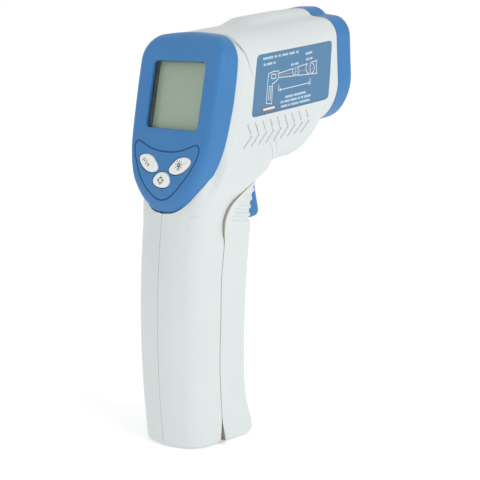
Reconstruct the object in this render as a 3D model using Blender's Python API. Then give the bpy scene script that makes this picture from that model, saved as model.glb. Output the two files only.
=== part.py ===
"""Infrared thermometer: a pistol-grip instrument built as an assembly of its real pieces.

Lengths below are in millimetres and become metres when a mesh is made.  +Z is up, +Y runs towards
the nose, +X is the user's right.  The side-view points are given from the handle's back edge, and
DATUM_SHIFT moves them so that the origin is under the middle of the whole object.
"""
import bpy
import bmesh
from math import cos, hypot, pi, radians, sin
from mathutils import Matrix, Vector

# ---------------------------------------------------------------- driving dimensions (mm)
MM = 0.001
DATUM_SHIFT = -42.5          # side-view Y of the handle's back edge, seen from the origin
GAP = 0.3                    # clearance between neighbouring pieces
WALL = 2.0                   # wall of the moulded shells
MERGE = 0.004                # points closer than this are one point
BARREL_SLOPE = 0.1           # the barrel rises this much for each unit towards the nose
NOSE_SEAM = 89.5             # distance along the barrel to the seam of the nose cap
NOSE_FRONT = 98.5            # distance along the barrel to its front face
NOSE_EDGE = 3.0              # rounding of the nose's front edge
HUMP_HALF = 8.6              # half-width of the rib on top of the head, and of its flat top
HUMP_FLAT = 3.4

DOOR_PIVOT = (21.0, 4.2)     # side-view (y, z) of the battery door's hinge
TRIGGER_PIVOT = (39.0, 107.5)
PIN_RADIUS = 1.2
PIN_HOLE = 1.55

FACE_TILT = radians(12.3)    # the display leans forward by this much
FACE_CENTRE = (7.9, 129.2)   # side-view centre of the display window, on the bezel's face
WINDOW = (24.9, 24.6)        # visible display opening, width and height
BATTERY = (25.8, 16.8, 48.0)  # a nine-volt block
BATTERY_BACK = 8.4
BATTERY_FOOT = 19.0

# Each station crosses the body: outer (y, z), inner (y, z), half-width, then crown and corner
# radius on the outer side, crown and corner radius on the inner side, and the rib's height.
BODY_STATIONS = [
    (66.0, 155.8, 69.8, 110.6, 20.9, 2.5, 8, 5.0, 12, 2.5),
    (58.0, 155.0, 64.0, 106.0, 21.0, 2.5, 8, 4.5, 11, 2.5),
    (50.0, 154.2, 58.5, 103.4, 21.0, 2.5, 8, 4.0, 11, 2.5),
    (44.0, 153.6, 53.0, 102.6, 21.0, 2.5, 8, 3.5, 11, 2.3),
    (38.0, 153.0, 49.5, 102.5, 21.0, 2.5, 8, 2.0, 11, 0.3),
    (30.0, 152.2, 46.6, 102.2, 21.0, 2.5, 8, 1.5, 11, 0.0),
    (22.0, 151.4, 44.8, 101.8, 21.0, 2.5, 8, 1.0, 11, 0.0),
    (16.0, 150.8, 43.6, 101.2, 21.0, 2.5, 8, 1.0, 11, 0.0),
    (13.0, 148.0, 42.6, 100.2, 21.0, 2.5, 7, 1.0, 11, 0.0),
    (11.2, 135.0, 41.2, 97.8, 21.0, 2.0, 6, 1.0, 11, 0.0),
    (9.4, 125.5, 40.5, 96.2, 21.0, 2.0, 6, 1.0, 11, 0.0),
    (7.6, 116.0, 39.8, 94.2, 20.9, 2.5, 6, 1.0, 11, 0.0),
    (5.8, 107.4, 39.2, 91.6, 20.2, 4.0, 6, 1.0, 11, 0.0),
    (4.0, 100.0, 38.6, 88.6, 18.7, 4.0, 6, 1.0, 11, 0.0),
    (2.4, 94.0, 38.1, 85.4, 17.6, 4.5, 5.5, 1.0, 11, 0.0),
    (1.2, 88.5, 37.7, 81.9, 17.0, 5.0, 5, 1.0, 11, 0.0),
    (0.2, 81.0, 37.2, 77.4, 16.6, 5.5, 5, 1.0, 11, 0.0),
    (-0.8, 73.2, 36.6, 71.5, 16.4, 5.5, 5, 1.0, 11, 0.0),
    (-1.9, 60.5, 35.5, 60.0, 16.2, 5.5, 5, 1.0, 11, 0.0),
    (-2.5, 42.0, 34.3, 42.0, 16.1, 5.5, 5, 1.0, 11, 0.0),
    (-2.1, 24.0, 34.2, 24.0, 15.7, 5.3, 5, 1.0, 10.5, 0.0),
    (-1.4, 13.0, 35.3, 13.0, 15.3, 5.0, 5, 1.0, 10, 0.0),
    (-0.6, 5.0, 37.4, 5.0, 14.8, 4.5, 5, 1.0, 9, 0.0),
]
BODY_FOOT = [                # the rounded bottom edge of the handle
    (-0.3, 1.6, 37.8, 1.6, 14.5, 4.3, 5, 1.0, 9, 0.0),
    (0.1, 0.4, 37.4, 0.4, 14.1, 4.2, 5, 1.0, 9, 0.0),
    (0.9, 0.0, 36.6, 0.0, 13.3, 4.0, 5, 1.0, 8.5, 0.0),
]
BEZEL_WIDTHS = [(86.8, 0.6), (87.6, 4.5), (89, 6.9), (91, 9.2), (93.5, 11.4), (96, 13.4), (99, 15.4),
                (103.5, 17.9), (109, 19.7), (114, 20.5), (120, 21.0), (127, 21.3), (134, 21.4)]
BEZEL_FACE = [(86.8, 1.8), (88.5, 0.9), (92.1, 0.3), (96, 0.4), (99, 0.8), (104.5, 2.3), (113.6, 4.4),
              (117.1, 5.2), (127, 7.35), (134, 8.85), (141.3, 10.5), (146, 11.9), (151, 14.0)]
BEZEL_FRONT = [(86.8, 2.4), (88.6, 3.9), (92.7, 6.8), (96.8, 8.3), (100.4, 9.1), (104.3, 10.5),
               (109.1, 12.9), (121.4, 16.5), (127.3, 18.6), (139.5, 20.6), (151, 20.9)]
BEZEL_TOP = 151.0
BEZEL_CORNER = 9.0
BEZEL_EDGE = 3.0
DOOR_SEAM = [(70.0, 99.0), (44.0, 100.2), (36.6, 101.0), (29.4, 98.1), (23.5, 93.2), (19.1, 89.0),
             (16.8, 84.7), (16.2, 80.2), (16.2, 75.5), (15.5, 69.2), (14.6, 60.3), (14.3, 47.4),
             (13.8, 32.6), (14.5, 19.2), (15.7, 10.2)]
SCREW_SPOTS = [(33.0, 146.6), (62.0, 115.0), (5.2, 72.0), (4.6, 9.8)]
PCB_SCREW_SPOTS = [(-16.8, 12.0), (16.8, 12.0), (-15.6, -19.5), (15.6, -19.5)]
LABEL_OUTLINE = [(30.5, 143.1), (71.6, 147.0), (69.9, 125.3), (27.4, 121.0)]
BUTTONS = {                  # name: (x, distance along the face from the window's centre, w, h, roll)
    "button_units": (-8.7, -25.0, 9.4, 5.8, -28),
    "button_backlight": (8.7, -25.0, 9.4, 5.8, 28),
    "button_laser": (0.0, -31.2, 8.0, 5.6, 0),
}


# ---------------------------------------------------------------- materials
def make_material(name, colour, roughness=0.45, metallic=0.0):
    material = bpy.data.materials.new(name)
    material.use_nodes = True
    shader = material.node_tree.nodes["Principled BSDF"]
    shader.inputs["Base Color"].default_value = (*colour, 1.0)
    shader.inputs["Roughness"].default_value = roughness
    shader.inputs["Metallic"].default_value = metallic
    material.diffuse_color = (*colour, 1.0)
    return material


for leftover in list(bpy.data.objects):
    bpy.data.objects.remove(leftover, do_unlink=True)

WHITE = make_material("white_abs", (0.66, 0.73, 0.72), 0.42)
BLUE = make_material("blue_abs", (0.08, 0.23, 0.47), 0.45)
BLACK = make_material("black_abs", (0.02, 0.02, 0.022), 0.5)
CLEAR = make_material("clear_acrylic", (0.80, 0.85, 0.82), 0.08)
LCD_GREEN = make_material("lcd_glass", (0.30, 0.38, 0.29), 0.15)
BUTTON_WHITE = make_material("button_rubber", (0.80, 0.82, 0.80), 0.5)
RUBBER = make_material("grey_silicone", (0.25, 0.26, 0.27), 0.7)
BOARD = make_material("green_board", (0.03, 0.16, 0.07), 0.4)
STEEL = make_material("zinc_steel", (0.62, 0.62, 0.62), 0.3, 1.0)
BRASS = make_material("brass", (0.70, 0.52, 0.22), 0.3, 1.0)
GERMANIUM = make_material("lens_polymer", (0.16, 0.16, 0.17), 0.2)
BATTERY_SKIN = make_material("battery_case", (0.10, 0.11, 0.13), 0.35)
RED = make_material("red_pvc", (0.55, 0.03, 0.02), 0.4)
LABEL = make_material("label_film", (0.14, 0.26, 0.40), 0.4)


# ---------------------------------------------------------------- mesh helpers
def to_world(x, y, z):
    """Millimetres of the side view to metres from the origin."""
    return Vector((x, y + DATUM_SHIFT, z)) * MM


def finish_mesh(name, bm, material, smooth_degrees=35):
    bmesh.ops.recalc_face_normals(bm, faces=bm.faces)
    mesh = bpy.data.meshes.new(name)
    bm.to_mesh(mesh)
    bm.free()
    mesh.materials.append(material)
    mesh.shade_smooth()
    mesh.set_sharp_from_angle(angle=radians(smooth_degrees))
    obj = bpy.data.objects.new(name, mesh)
    bpy.context.scene.collection.objects.link(obj)
    return obj


def tidy_mesh(mesh):
    """Merge the hair-thin leftovers of a cut, which are far below any real detail."""
    bm = bmesh.new()
    bm.from_mesh(mesh)
    bmesh.ops.remove_doubles(bm, verts=bm.verts, dist=MERGE * MM)
    bmesh.ops.dissolve_degenerate(bm, edges=bm.edges, dist=MERGE * MM)
    bmesh.ops.triangulate(bm, faces=[face for face in bm.faces if len(face.verts) > 4])
    bm.to_mesh(mesh)
    bm.free()


def boolean(target, cutter, operation="DIFFERENCE"):
    """Apply one exact Boolean and remove its cutter."""
    modifier = target.modifiers.new(operation.lower(), "BOOLEAN")
    modifier.operation = operation
    modifier.solver = "EXACT"
    modifier.object = cutter
    depsgraph = bpy.context.evaluated_depsgraph_get()
    result = bpy.data.meshes.new_from_object(target.evaluated_get(depsgraph))
    tidy_mesh(result)
    target.modifiers.clear()
    previous = target.data
    target.data = result
    bpy.data.meshes.remove(previous)
    bpy.data.objects.remove(cutter, do_unlink=True)
    return target


def cut(target, *cutters):
    for cutter in cutters:
        boolean(target, cutter)
    return target


def join(target, *additions):
    for addition in additions:
        boolean(target, addition, "UNION")
    return target


def cap_in_strips(bm, loop, flip):
    """Cap a mirrored loop with level strips, so that the cap follows its curve in the side view."""
    count = len(loop)
    middle = (count - 1) // 2
    for i in range(middle):
        strip = [loop[i], loop[i + 1], loop[count - 2 - i], loop[count - 1 - i]]
        if i == middle - 1:
            strip = [loop[i], loop[i + 1], loop[count - 1 - i]]
        bm.faces.new(list(reversed(strip)) if flip else strip)


def skin_rings(name, rings, material, strips=False):
    """A closed solid through rings of equal length, with its two ends capped."""
    bm = bmesh.new()
    loops = [[bm.verts.new(to_world(*point)) for point in ring] for ring in rings]
    count = len(loops[0])
    for near, far in zip(loops, loops[1:]):
        for i in range(count):
            j = (i + 1) % count
            bm.faces.new((near[i], near[j], far[j], far[i]))
    if strips:
        cap_in_strips(bm, loops[0], False)
        cap_in_strips(bm, loops[-1], True)
    else:
        bm.faces.new(loops[0])
        bm.faces.new(list(reversed(loops[-1])))
    return finish_mesh(name, bm, material)


def prism_x(name, outline, x_low, x_high, material=WHITE):
    """A side-view outline of (y, z) points, extruded along X."""
    return skin_rings(name, [[(x, y, z) for y, z in outline] for x in (x_low, x_high)], material)


def box(name, low, high, material=WHITE):
    outline = [(low[1], low[2]), (high[1], low[2]), (high[1], high[2]), (low[1], high[2])]
    return prism_x(name, outline, low[0], high[0], material)


def turned(name, profile, start, direction, material, segments=20):
    """A solid turned about direction, from (distance, radius) points along it."""
    axis = Vector(direction).normalized()
    side = Vector((1, 0, 0)) if abs(axis.x) < 0.9 else Vector((0, 1, 0))
    side = (side - axis * side.dot(axis)).normalized()
    other = axis.cross(side)
    rings = []
    for distance, radius in profile:
        centre = Vector(start) + axis * distance
        ring = []
        for k in range(segments):
            angle = 2 * pi * k / segments
            ring.append(centre + side * (radius * cos(angle)) + other * (radius * sin(angle)))
        rings.append(ring)
    return skin_rings(name, rings, material)


def cylinder(name, start, direction, length, radius, material=WHITE, segments=16):
    return turned(name, [(0, radius), (length, radius)], start, direction, material, segments)


def interpolate(table, value):
    """Straight-line interpolation in a rising table of (key, value) pairs."""
    for (k0, v0), (k1, v1) in zip(table, table[1:]):
        if value <= k1:
            return v0 + (v1 - v0) * (value - k0) / (k1 - k0)
    return table[-1][1]


def shifted_line(points, distance):
    """A polyline moved sideways; a positive distance moves it to the left of its direction."""
    moved = []
    for i, (y, z) in enumerate(points):
        before = points[max(i - 1, 0)]
        after = points[min(i + 1, len(points) - 1)]
        run, rise = after[0] - before[0], after[1] - before[1]
        length = hypot(run, rise)
        moved.append((y - rise / length * distance, z + run / length * distance))
    return moved


# ---------------------------------------------------------------- the body's outer form
def barrel_axis():
    length = hypot(1, BARREL_SLOPE)
    return Vector((0, 1 / length, BARREL_SLOPE / length))


def at_barrel(distance, z_at_seam, x=0.0):
    """The point at a distance along the barrel, on the line that crosses the seam at a height."""
    axis = barrel_axis()
    seam_y = (NOSE_SEAM - z_at_seam * axis.z) / axis.y
    return Vector((x, seam_y, z_at_seam)) + axis * (distance - NOSE_SEAM)


def nose_station(distance, inset=0.0):
    top = at_barrel(distance, 156.6 - inset)
    bottom = at_barrel(distance, 113.7 + inset)
    return (top.y, top.z, bottom.y, bottom.z, 20.5 - inset, 2.5, 8, 5.0, 13, 2.5)


def body_stations():
    edge = [(NOSE_FRONT, NOSE_EDGE), (NOSE_FRONT - 0.4, 1.4), (NOSE_FRONT - 1.4, 0.4)]
    front = [nose_station(distance, inset) for distance, inset in edge]
    front += [nose_station(NOSE_FRONT - NOSE_EDGE), nose_station(NOSE_SEAM), nose_station(82)]
    return front + BODY_STATIONS + BODY_FOOT


def rib_height(x):
    """The rib on the head: 1 on its flat top, 0 beyond its foot, smooth between."""
    part = min(max((HUMP_HALF - abs(x)) / (HUMP_HALF - HUMP_FLAT), 0.0), 1.0)
    return part * part * (3 - 2 * part)


def crowned_edge(half_width, crown, radius, crown_steps=5, corner_steps=4):
    """(x, depth) from the middle to the side: a shallow crown that ends in a rounded corner."""
    flat = half_width - radius
    points = [(flat * k / crown_steps, crown * (flat * k / crown_steps / half_width) ** 2)
              for k in range(crown_steps)]
    for k in range(corner_steps + 1):
        angle = pi / 2 * k / corner_steps
        x = flat + radius * sin(angle)
        points.append((x, crown * (x / half_width) ** 2 + radius * (1 - cos(angle))))
    return points


def section(station, x_seam, inset=0.0):
    """Half of the body's section as (x, y, z), from the outer middle to the inner middle."""
    oy, oz, iy, iz, width, crown_o, radius_o, crown_i, radius_i, rib = station
    span = hypot(iy - oy, iz - oz)
    step = ((iy - oy) / span, (iz - oz) / span)
    half = []
    for x, depth in crowned_edge(width - inset, crown_o, radius_o - inset / 2):
        half.append((x, depth + inset - rib * rib_height(x)))
    for x, depth in reversed(crowned_edge(width - inset, crown_i, radius_i - inset / 2)):
        half.append((x, span - inset - depth))
    return [(max(x, x_seam), oy + step[0] * depth, oz + step[1] * depth) for x, depth in half]


def body_half(name, x_seam=GAP / 2):
    """The solid outer form of the right half."""
    return skin_rings(name, [section(s, x_seam) for s in body_stations()], WHITE)


def full_section(station, inset=0.0):
    half = section(station, 0.0, inset)
    return half + [(-x, y, z) for x, y, z in reversed(half[1:-1])]


def body_whole(name):
    return skin_rings(name, [full_section(s) for s in body_stations()], WHITE)


def body_hollow(name):
    """The space inside the walls, open past the nose seam."""
    ahead = [nose_station(NOSE_FRONT + 4), nose_station(NOSE_SEAM), nose_station(82)]
    stations = ahead + BODY_STATIONS[:-1]
    stations += [(-0.8, 2 * WALL, 37.6, 2 * WALL, 14.8, 4.5, 5, 1.0, 9, 0.0),
                 (-0.4, WALL + 0.2, 37.8, WALL + 0.2, 14.6, 4.4, 5, 1.0, 9, 0.0)]
    return skin_rings(name, [full_section(s, WALL) for s in stations], WHITE)


def door_region():
    """Side view of what is cut from the casings to make room for the door."""
    return shifted_line(DOOR_SEAM, -GAP / 2) + [(15.5, 5.0), (15.5, -5.0), (70.0, -5.0)]


def casing_region():
    """Side view of what is cut from the whole form to leave the door."""
    line = shifted_line(DOOR_SEAM, GAP / 2)
    return line + [(16.6, 6.0), (18.4, 0.0), (18.4, -5.0), (-30.0, -5.0), (-30.0, 190.0), (120.0, 190.0),
                   (120.0, 99.0)]


# ---------------------------------------------------------------- the bezel's outline
def bezel_outline(grow=0.0, steps=10):
    """Half of the bezel seen from behind, as (x, z) from the bottom tip to the top middle."""
    points = [(width, z) for z, width in BEZEL_WIDTHS]
    wide = BEZEL_WIDTHS[-1][1]
    crown = 0.8
    for k in range(steps // 2 + 1):
        angle = pi / 2 * k / (steps // 2)
        corner_z = BEZEL_TOP - crown - BEZEL_CORNER + BEZEL_CORNER * sin(angle)
        points.append((wide - BEZEL_CORNER + BEZEL_CORNER * cos(angle), corner_z))
    flat = wide - BEZEL_CORNER
    for k in range(1, steps // 2 + 1):
        x = flat * (1 - 2 * k / steps)
        points.append((x, BEZEL_TOP - crown * (x / flat) ** 2))
    if grow:
        points = [(max(x, 0.0), z) for x, z in shifted_line(points, -grow)]
        points[0] = (0.6, points[0][1])
        points[-1] = (0.0, BEZEL_TOP + grow)
    return points


def both_sides(half):
    """Close a half outline whose last point is on the middle line."""
    return half + [(-x, z) for x, z in reversed(half[:-1])]


def bezel_block(name, inset, front_offset, face_offset=None):
    """The bezel's outline, inset, from its face (or far behind it) to its front edge."""
    outline = both_sides(bezel_outline(-inset) if inset else bezel_outline())
    rings = []
    if face_offset is None:
        rings.append([(x, -15.0, z) for x, z in outline])
    else:
        edge = max(BEZEL_EDGE - inset, 1.0)
        for k in range(3, -1, -1):
            angle = pi / 2 * k / 3
            shrink = edge * (1 - cos(angle))
            ring = both_sides(bezel_outline(-inset - shrink)) if inset + shrink else outline
            drop = edge * (1 - sin(angle)) + face_offset
            rings.append([(x, interpolate(BEZEL_FACE, z) + drop, z) for x, z in ring])
    rings.append([(x, interpolate(BEZEL_FRONT, z) + front_offset, z) for x, z in outline])
    return skin_rings(name, rings, BLUE, strips=True)


# ---------------------------------------------------------------- places on the tilted face
def face_point(x, along, depth):
    """A point on the display's face: along runs up it, depth runs into the body."""
    y = FACE_CENTRE[0] + along * sin(FACE_TILT) + depth * cos(FACE_TILT)
    z = FACE_CENTRE[1] + along * cos(FACE_TILT) - depth * sin(FACE_TILT)
    return (x, y, z)


def face_plate(name, x_range, along_range, depth_range, material, corner=0.0):
    """A plate parallel to the face, with rounded corners when corner is set."""
    (x0, x1), (a0, a1) = x_range, along_range
    if corner:
        outline = []
        quarters = [(x1, a1, 0), (x0, a1, 90), (x0, a0, 180), (x1, a0, 270)]
        for cx, ca, start in quarters:
            centre = (cx - corner if cx == x1 else cx + corner, ca - corner if ca == a1 else ca + corner)
            for k in range(5):
                angle = radians(start + 22.5 * k)
                outline.append((centre[0] + corner * cos(angle), centre[1] + corner * sin(angle)))
    else:
        outline = [(x1, a1), (x0, a1), (x0, a0), (x1, a0)]
    rings = [[face_point(x, a, depth) for x, a in outline] for depth in depth_range]
    return skin_rings(name, rings, material)


def button_outline(key, grow=0.0, steps=20):
    """A soft-cornered key, a squashed circle turned by its roll."""
    x, along, width, height, roll = BUTTONS[key]
    turn = radians(roll)
    points = []
    for k in range(steps):
        angle = 2 * pi * k / steps
        u = (width / 2 + grow) * abs(cos(angle)) ** 0.75 * (1 if cos(angle) > 0 else -1)
        v = (height / 2 + grow) * abs(sin(angle)) ** 0.75 * (1 if sin(angle) > 0 else -1)
        points.append((x + u * cos(turn) - v * sin(turn), along + u * sin(turn) + v * cos(turn)))
    return points


def button_solid(name, key, grow, depths, material):
    rings = [[face_point(x, a, depth) for x, a in button_outline(key, grow + shrink)]
             for depth, shrink in depths]
    return skin_rings(name, rings, material)


# ---------------------------------------------------------------- shared cutters
def barrel_slab(name, near, far, radius=260.0):
    """A block across the barrel between two distances along it."""
    return turned(name, [(0, radius), (far - near, radius)], at_barrel(near, 135), barrel_axis(), WHITE, 4)


def inset_form(name, inset):
    """The right half of the body's form, slightly smaller, that trims posts to lie in the wall."""
    return skin_rings(name, [section(s, GAP / 2, inset) for s in body_stations()], WHITE)


def rounded_outline(corners, radius, steps=4):
    """The corners of a polygon replaced by short curves."""
    points = []
    for i, corner in enumerate(corners):
        here = Vector(corner)
        before = Vector(corners[i - 1]) - here
        after = Vector(corners[(i + 1) % len(corners)]) - here
        start = here + before.normalized() * radius
        end = here + after.normalized() * radius
        for k in range(steps + 1):
            t = k / steps
            point = start * (1 - t) ** 2 + here * (2 * t * (1 - t)) + end * t ** 2
            points.append((point.x, point.y))
    return points


def mirrored(name, source):
    """A copy of an object, reflected across the middle plane."""
    bm = bmesh.new()
    bm.from_mesh(source.data)
    bm.transform(Matrix.Scale(-1, 4, (1, 0, 0)))
    return finish_mesh(name, bm, source.data.materials[0])


def tube(name, points, radius, material):
    """A round lead through points, on one smooth curve."""
    path = []
    count = len(points)
    for i in range(count - 1):
        p0, p1 = Vector(points[max(i - 1, 0)]), Vector(points[i])
        p2, p3 = Vector(points[i + 1]), Vector(points[min(i + 2, count - 1)])
        for k in range(4):
            t = k / 4
            path.append((p1 * 2 + (p2 - p0) * t + (p0 * 2 - p1 * 5 + p2 * 4 - p3) * t ** 2
                         + (p1 * 3 - p0 - p2 * 3 + p3) * t ** 3) / 2)
    path.append(Vector(points[-1]))
    curve = bpy.data.curves.new(name, "CURVE")
    curve.dimensions = "3D"
    curve.bevel_depth = radius * MM
    curve.bevel_resolution = 2
    curve.use_fill_caps = True
    curve.materials.append(material)
    spline = curve.splines.new("POLY")
    spline.points.add(len(path) - 1)
    for spot, place in zip(spline.points, path):
        spot.co = (*to_world(*place), 1.0)
    obj = bpy.data.objects.new(name, curve)
    bpy.context.scene.collection.objects.link(obj)
    return obj


# ---------------------------------------------------------------- casings
def make_right_housing():
    shell = cut(body_half("right_housing"), body_hollow("hollow"))
    cut(shell, barrel_slab("nose_cut", NOSE_SEAM - GAP / 2, NOSE_SEAM + 40))
    cut(shell, bezel_block("bezel_cut", -GAP, GAP))
    cut(shell, prism_x("door_cut", door_region(), -30, 30))
    cut(shell, box("trigger_slot", (-1, 33.5, 95.0), (5.7, 49.5, 107.5)))
    posts = [box("tongue", (GAP / 2, 10.0, 0.9), (9.0, 23.4, 7.4)),
             box("trigger_post", (6.0, 35.5, 102.0), (19.6, 42.5, 111.0))]
    posts += [cylinder("boss", (GAP / 2, y, z), (1, 0, 0), 19.6, 3.0) for y, z in SCREW_SPOTS]
    for post in posts:
        join(shell, boolean(post, inset_form("form", 0.8), "INTERSECT"))
    pivots = [(*DOOR_PIVOT, -1, 12), (*TRIGGER_PIVOT, 5, 10)]
    for y, z, x_low, x_high in pivots:
        cut(shell, cylinder("pin_hole", (x_low, y, z), (1, 0, 0), x_high - x_low, PIN_HOLE))
    pocket = prism_x("label_pocket", rounded_outline(LABEL_OUTLINE, 1.8), 19.9, 25.0)
    return cut(shell, pocket)


def make_housings():
    """Two mirrored casings: the right one takes the screws, the left one lets them through."""
    right = make_right_housing()
    left = mirrored("left_housing", right)
    for y, z in SCREW_SPOTS:
        cut(right, cylinder("pilot", (-1, y, z), (1, 0, 0), 9.5, 1.5, segments=12))
        cut(left, cylinder("clearance", (1, y, z), (-1, 0, 0), 30, 1.6, segments=12))
        cut(left, cylinder("counterbore", (-6.0, y, z), (-1, 0, 0), 30, 2.7))
    for half in (right, left):
        half.data.shade_smooth()
        half.data.set_sharp_from_angle(angle=radians(35))


def make_housing_screws():
    """Pan-head screws that enter from the left and hold the two casings together."""
    profile = [(0, 1.7), (0.4, 2.3), (2.0, 2.3), (2.0, 1.2), (12.5, 1.2), (13.2, 0.5)]
    for number, (y, z) in enumerate(SCREW_SPOTS, start=1):
        turned(f"housing_screw_{number}", profile, (-8.3, y, z), (1, 0, 0), STEEL, 12)


def make_bezel():
    bezel = bezel_block("display_bezel", 0.0, -GAP / 2, 0.0)
    cut(bezel, bezel_block("bezel_hollow", 2.2, 3.0, 2.2))
    half_w, half_h = WINDOW[0] / 2, WINDOW[1] / 2
    cut(bezel, face_plate("window", (-half_w, half_w), (-half_h, half_h), (-6, 4), BLUE, 2.0))
    for key in BUTTONS:
        cut(bezel, button_solid("key_hole", key, 0.4, [(-6, 0), (4, 0)], BLUE))
    for x, along in PCB_SCREW_SPOTS:
        inward = Vector(face_point(x, along, 1)) - Vector(face_point(x, along, 0))
        boss = cylinder("boss", face_point(x, along, 1.4), inward, 8.5, 1.9, BLUE, 12)
        join(bezel, boss)
        cut(bezel, cylinder("pilot", face_point(x, along, 3.6), inward, 8.0, 1.1, BLUE, 10))


def make_nose_cap():
    cap = cut(body_whole("nose_cap"), barrel_slab("body_cut", -60, NOSE_SEAM + GAP / 2))
    cap.data.materials.clear()
    cap.data.materials.append(BLUE)
    stations = [nose_station(distance) for distance in (NOSE_FRONT - 2.3, NOSE_SEAM, NOSE_SEAM - 4)]
    cut(cap, skin_rings("cap_hollow", [full_section(s, 2.2) for s in stations], BLUE))
    cut(cap, cylinder("mouth", at_barrel(90, 134.5), barrel_axis(), 14, 9.6, BLUE, 32))
    cut(cap, cylinder("laser_hole", at_barrel(90, 153.2), barrel_axis(), 14, 2.3, BLUE, 16))


def make_door():
    """The front of the handle: a shell hinged at its foot, slotted at its top for the trigger."""
    door = cut(body_whole("battery_door"), body_hollow("hollow"))
    cut(door, prism_x("casing_cut", casing_region(), -40, 40))
    cut(door, box("trigger_slot", (-5.7, 20.0, 79.2), (5.7, 60.0, 110.0)))
    cut(door, box("hinge_notch", (-9.4, 12.0, -2.0), (9.4, 25.0, 9.0)))
    form = skin_rings("form", [full_section(s, 0.8) for s in body_stations()], WHITE)
    ears = box("ears", (-20.0, 18.6, 0.8), (20.0, 24.4, 7.8))
    cut(ears, box("middle", (-9.7, 12.0, -2.0), (9.7, 30.0, 12.0)))
    join(door, boolean(ears, form, "INTERSECT"))
    cut(door, cylinder("pin_hole", (-12.6, *DOOR_PIVOT), (1, 0, 0), 25.2, PIN_HOLE))
    door.data.shade_smooth()
    door.data.set_sharp_from_angle(angle=radians(35))


# ---------------------------------------------------------------- controls
def make_buttons():
    """Keys that slide through the bezel; a flange behind it keeps each one in."""
    depths = [(-1.1, -0.9), (-0.8, -0.3), (-0.3, 0.0), (2.6, 0.0), (2.6, 0.5), (4.0, 0.5)]
    for key in BUTTONS:
        button_solid(key, key, 0.0, depths, BUTTON_WHITE)
    membrane = face_plate("keypad_membrane", (-12.5, 12.5), (-36.0, -22.0), (8.4, 9.8), RUBBER, 3.0)
    for x, along, *_ in BUTTONS.values():
        inward = Vector(face_point(x, along, 1)) - Vector(face_point(x, along, 0))
        start = face_point(x, along, 5.3)
        dome = turned("dome", [(0, 1.6), (2.2, 2.0), (3.4, 3.0)], start, inward, RUBBER, 14)
        join(membrane, dome)


def make_trigger():
    outline = [(44.3, 100.9), (45.0, 96.0), (45.9, 90.8), (47.2, 85.0), (47.5, 82.9), (46.9, 81.6),
               (45.4, 80.9), (42.0, 80.6), (36.0, 81.2), (33.9, 83.5), (33.6, 92.0), (34.6, 99.0)]
    trigger = prism_x("trigger", outline, -5.0, 5.0, BLUE)
    y, z = TRIGGER_PIVOT
    neck = prism_x("neck", [(35.5, 96.0), (42.5, 96.0), (41.6, z), (36.4, z)], -4.6, 4.6, BLUE)
    hub = cylinder("hub", (-4.6, y, z), (1, 0, 0), 9.2, 3.0, BLUE, 20)
    join(trigger, neck, hub)
    cut(trigger, cylinder("pin_hole", (-6, y, z), (1, 0, 0), 12, PIN_HOLE))
    cylinder("trigger_pin", (-9.5, y, z), (1, 0, 0), 19.0, PIN_RADIUS, STEEL, 16)
    switch = box("trigger_switch", (-4.5, 23.0, 81.5), (4.5, 28.0, 96.0), BLACK)
    join(switch, cylinder("plunger", (0, 27.5, 92.0), (0, 1, 0), 3.6, 1.6, BLACK))
    coil = []
    turns, radius, length = 5, 2.0, 4.4
    for k in range(turns * 3 + 1):
        angle = 2 * pi * k / 3
        coil.append((radius * cos(angle), 28.6 + length * k / (turns * 3), 85.6 + radius * sin(angle)))
    spring = tube("trigger_spring", coil, 0.28, STEEL)
    spring.data.bevel_resolution = 0


def make_door_pin():
    cylinder("battery_door_pin", (-12.2, *DOOR_PIVOT), (1, 0, 0), 24.4, PIN_RADIUS, STEEL, 16)


# ---------------------------------------------------------------- display and electronics
def make_display():
    face_plate("lcd_window", (-13.7, 13.7), (-13.6, 13.6), (2.5, 3.6), CLEAR, 1.5)
    face_plate("lcd_module", (-14.4, 14.4), (-15.4, 15.4), (4.4, 6.6), LCD_GREEN, 0.6)
    face_plate("lcd_backlight", (-14.4, 14.4), (-15.6, 15.6), (6.9, 9.8), BUTTON_WHITE, 0.6)


def make_boards():
    outline = [(17.6, 15.0), (-17.6, 15.0), (-17.6, -22.0), (-10.5, -34.0), (10.5, -34.0), (17.6, -22.0)]
    board = skin_rings("main_pcb", [[face_point(x, a, depth) for x, a in outline]
                                    for depth in (10.3, 11.9)], BOARD)
    for x, along in PCB_SCREW_SPOTS:
        inward = Vector(face_point(x, along, 1)) - Vector(face_point(x, along, 0))
        cut(board, cylinder("hole", face_point(x, along, 9), inward, 5, 1.2, BOARD, 12))
    profile = [(0, 1.2), (0.3, 1.7), (1.2, 1.7), (1.2, 0.75), (8.6, 0.75)]
    for number, (x, along) in enumerate(PCB_SCREW_SPOTS, start=1):
        outward = Vector(face_point(x, along, 0)) - Vector(face_point(x, along, 1))
        turned(f"pcb_screw_{number}", profile, face_point(x, along, 13.4), outward, STEEL, 12)
    face_plate("controller_chip", (-2.0, 8.0), (-12.0, -2.0), (12.2, 13.8), BLACK)
    inward = Vector(face_point(0, 0, 1)) - Vector(face_point(0, 0, 0))
    cylinder("buzzer", face_point(-8.5, 5.0, 12.2), inward, 4.5, 4.6, BLACK, 20)


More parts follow.
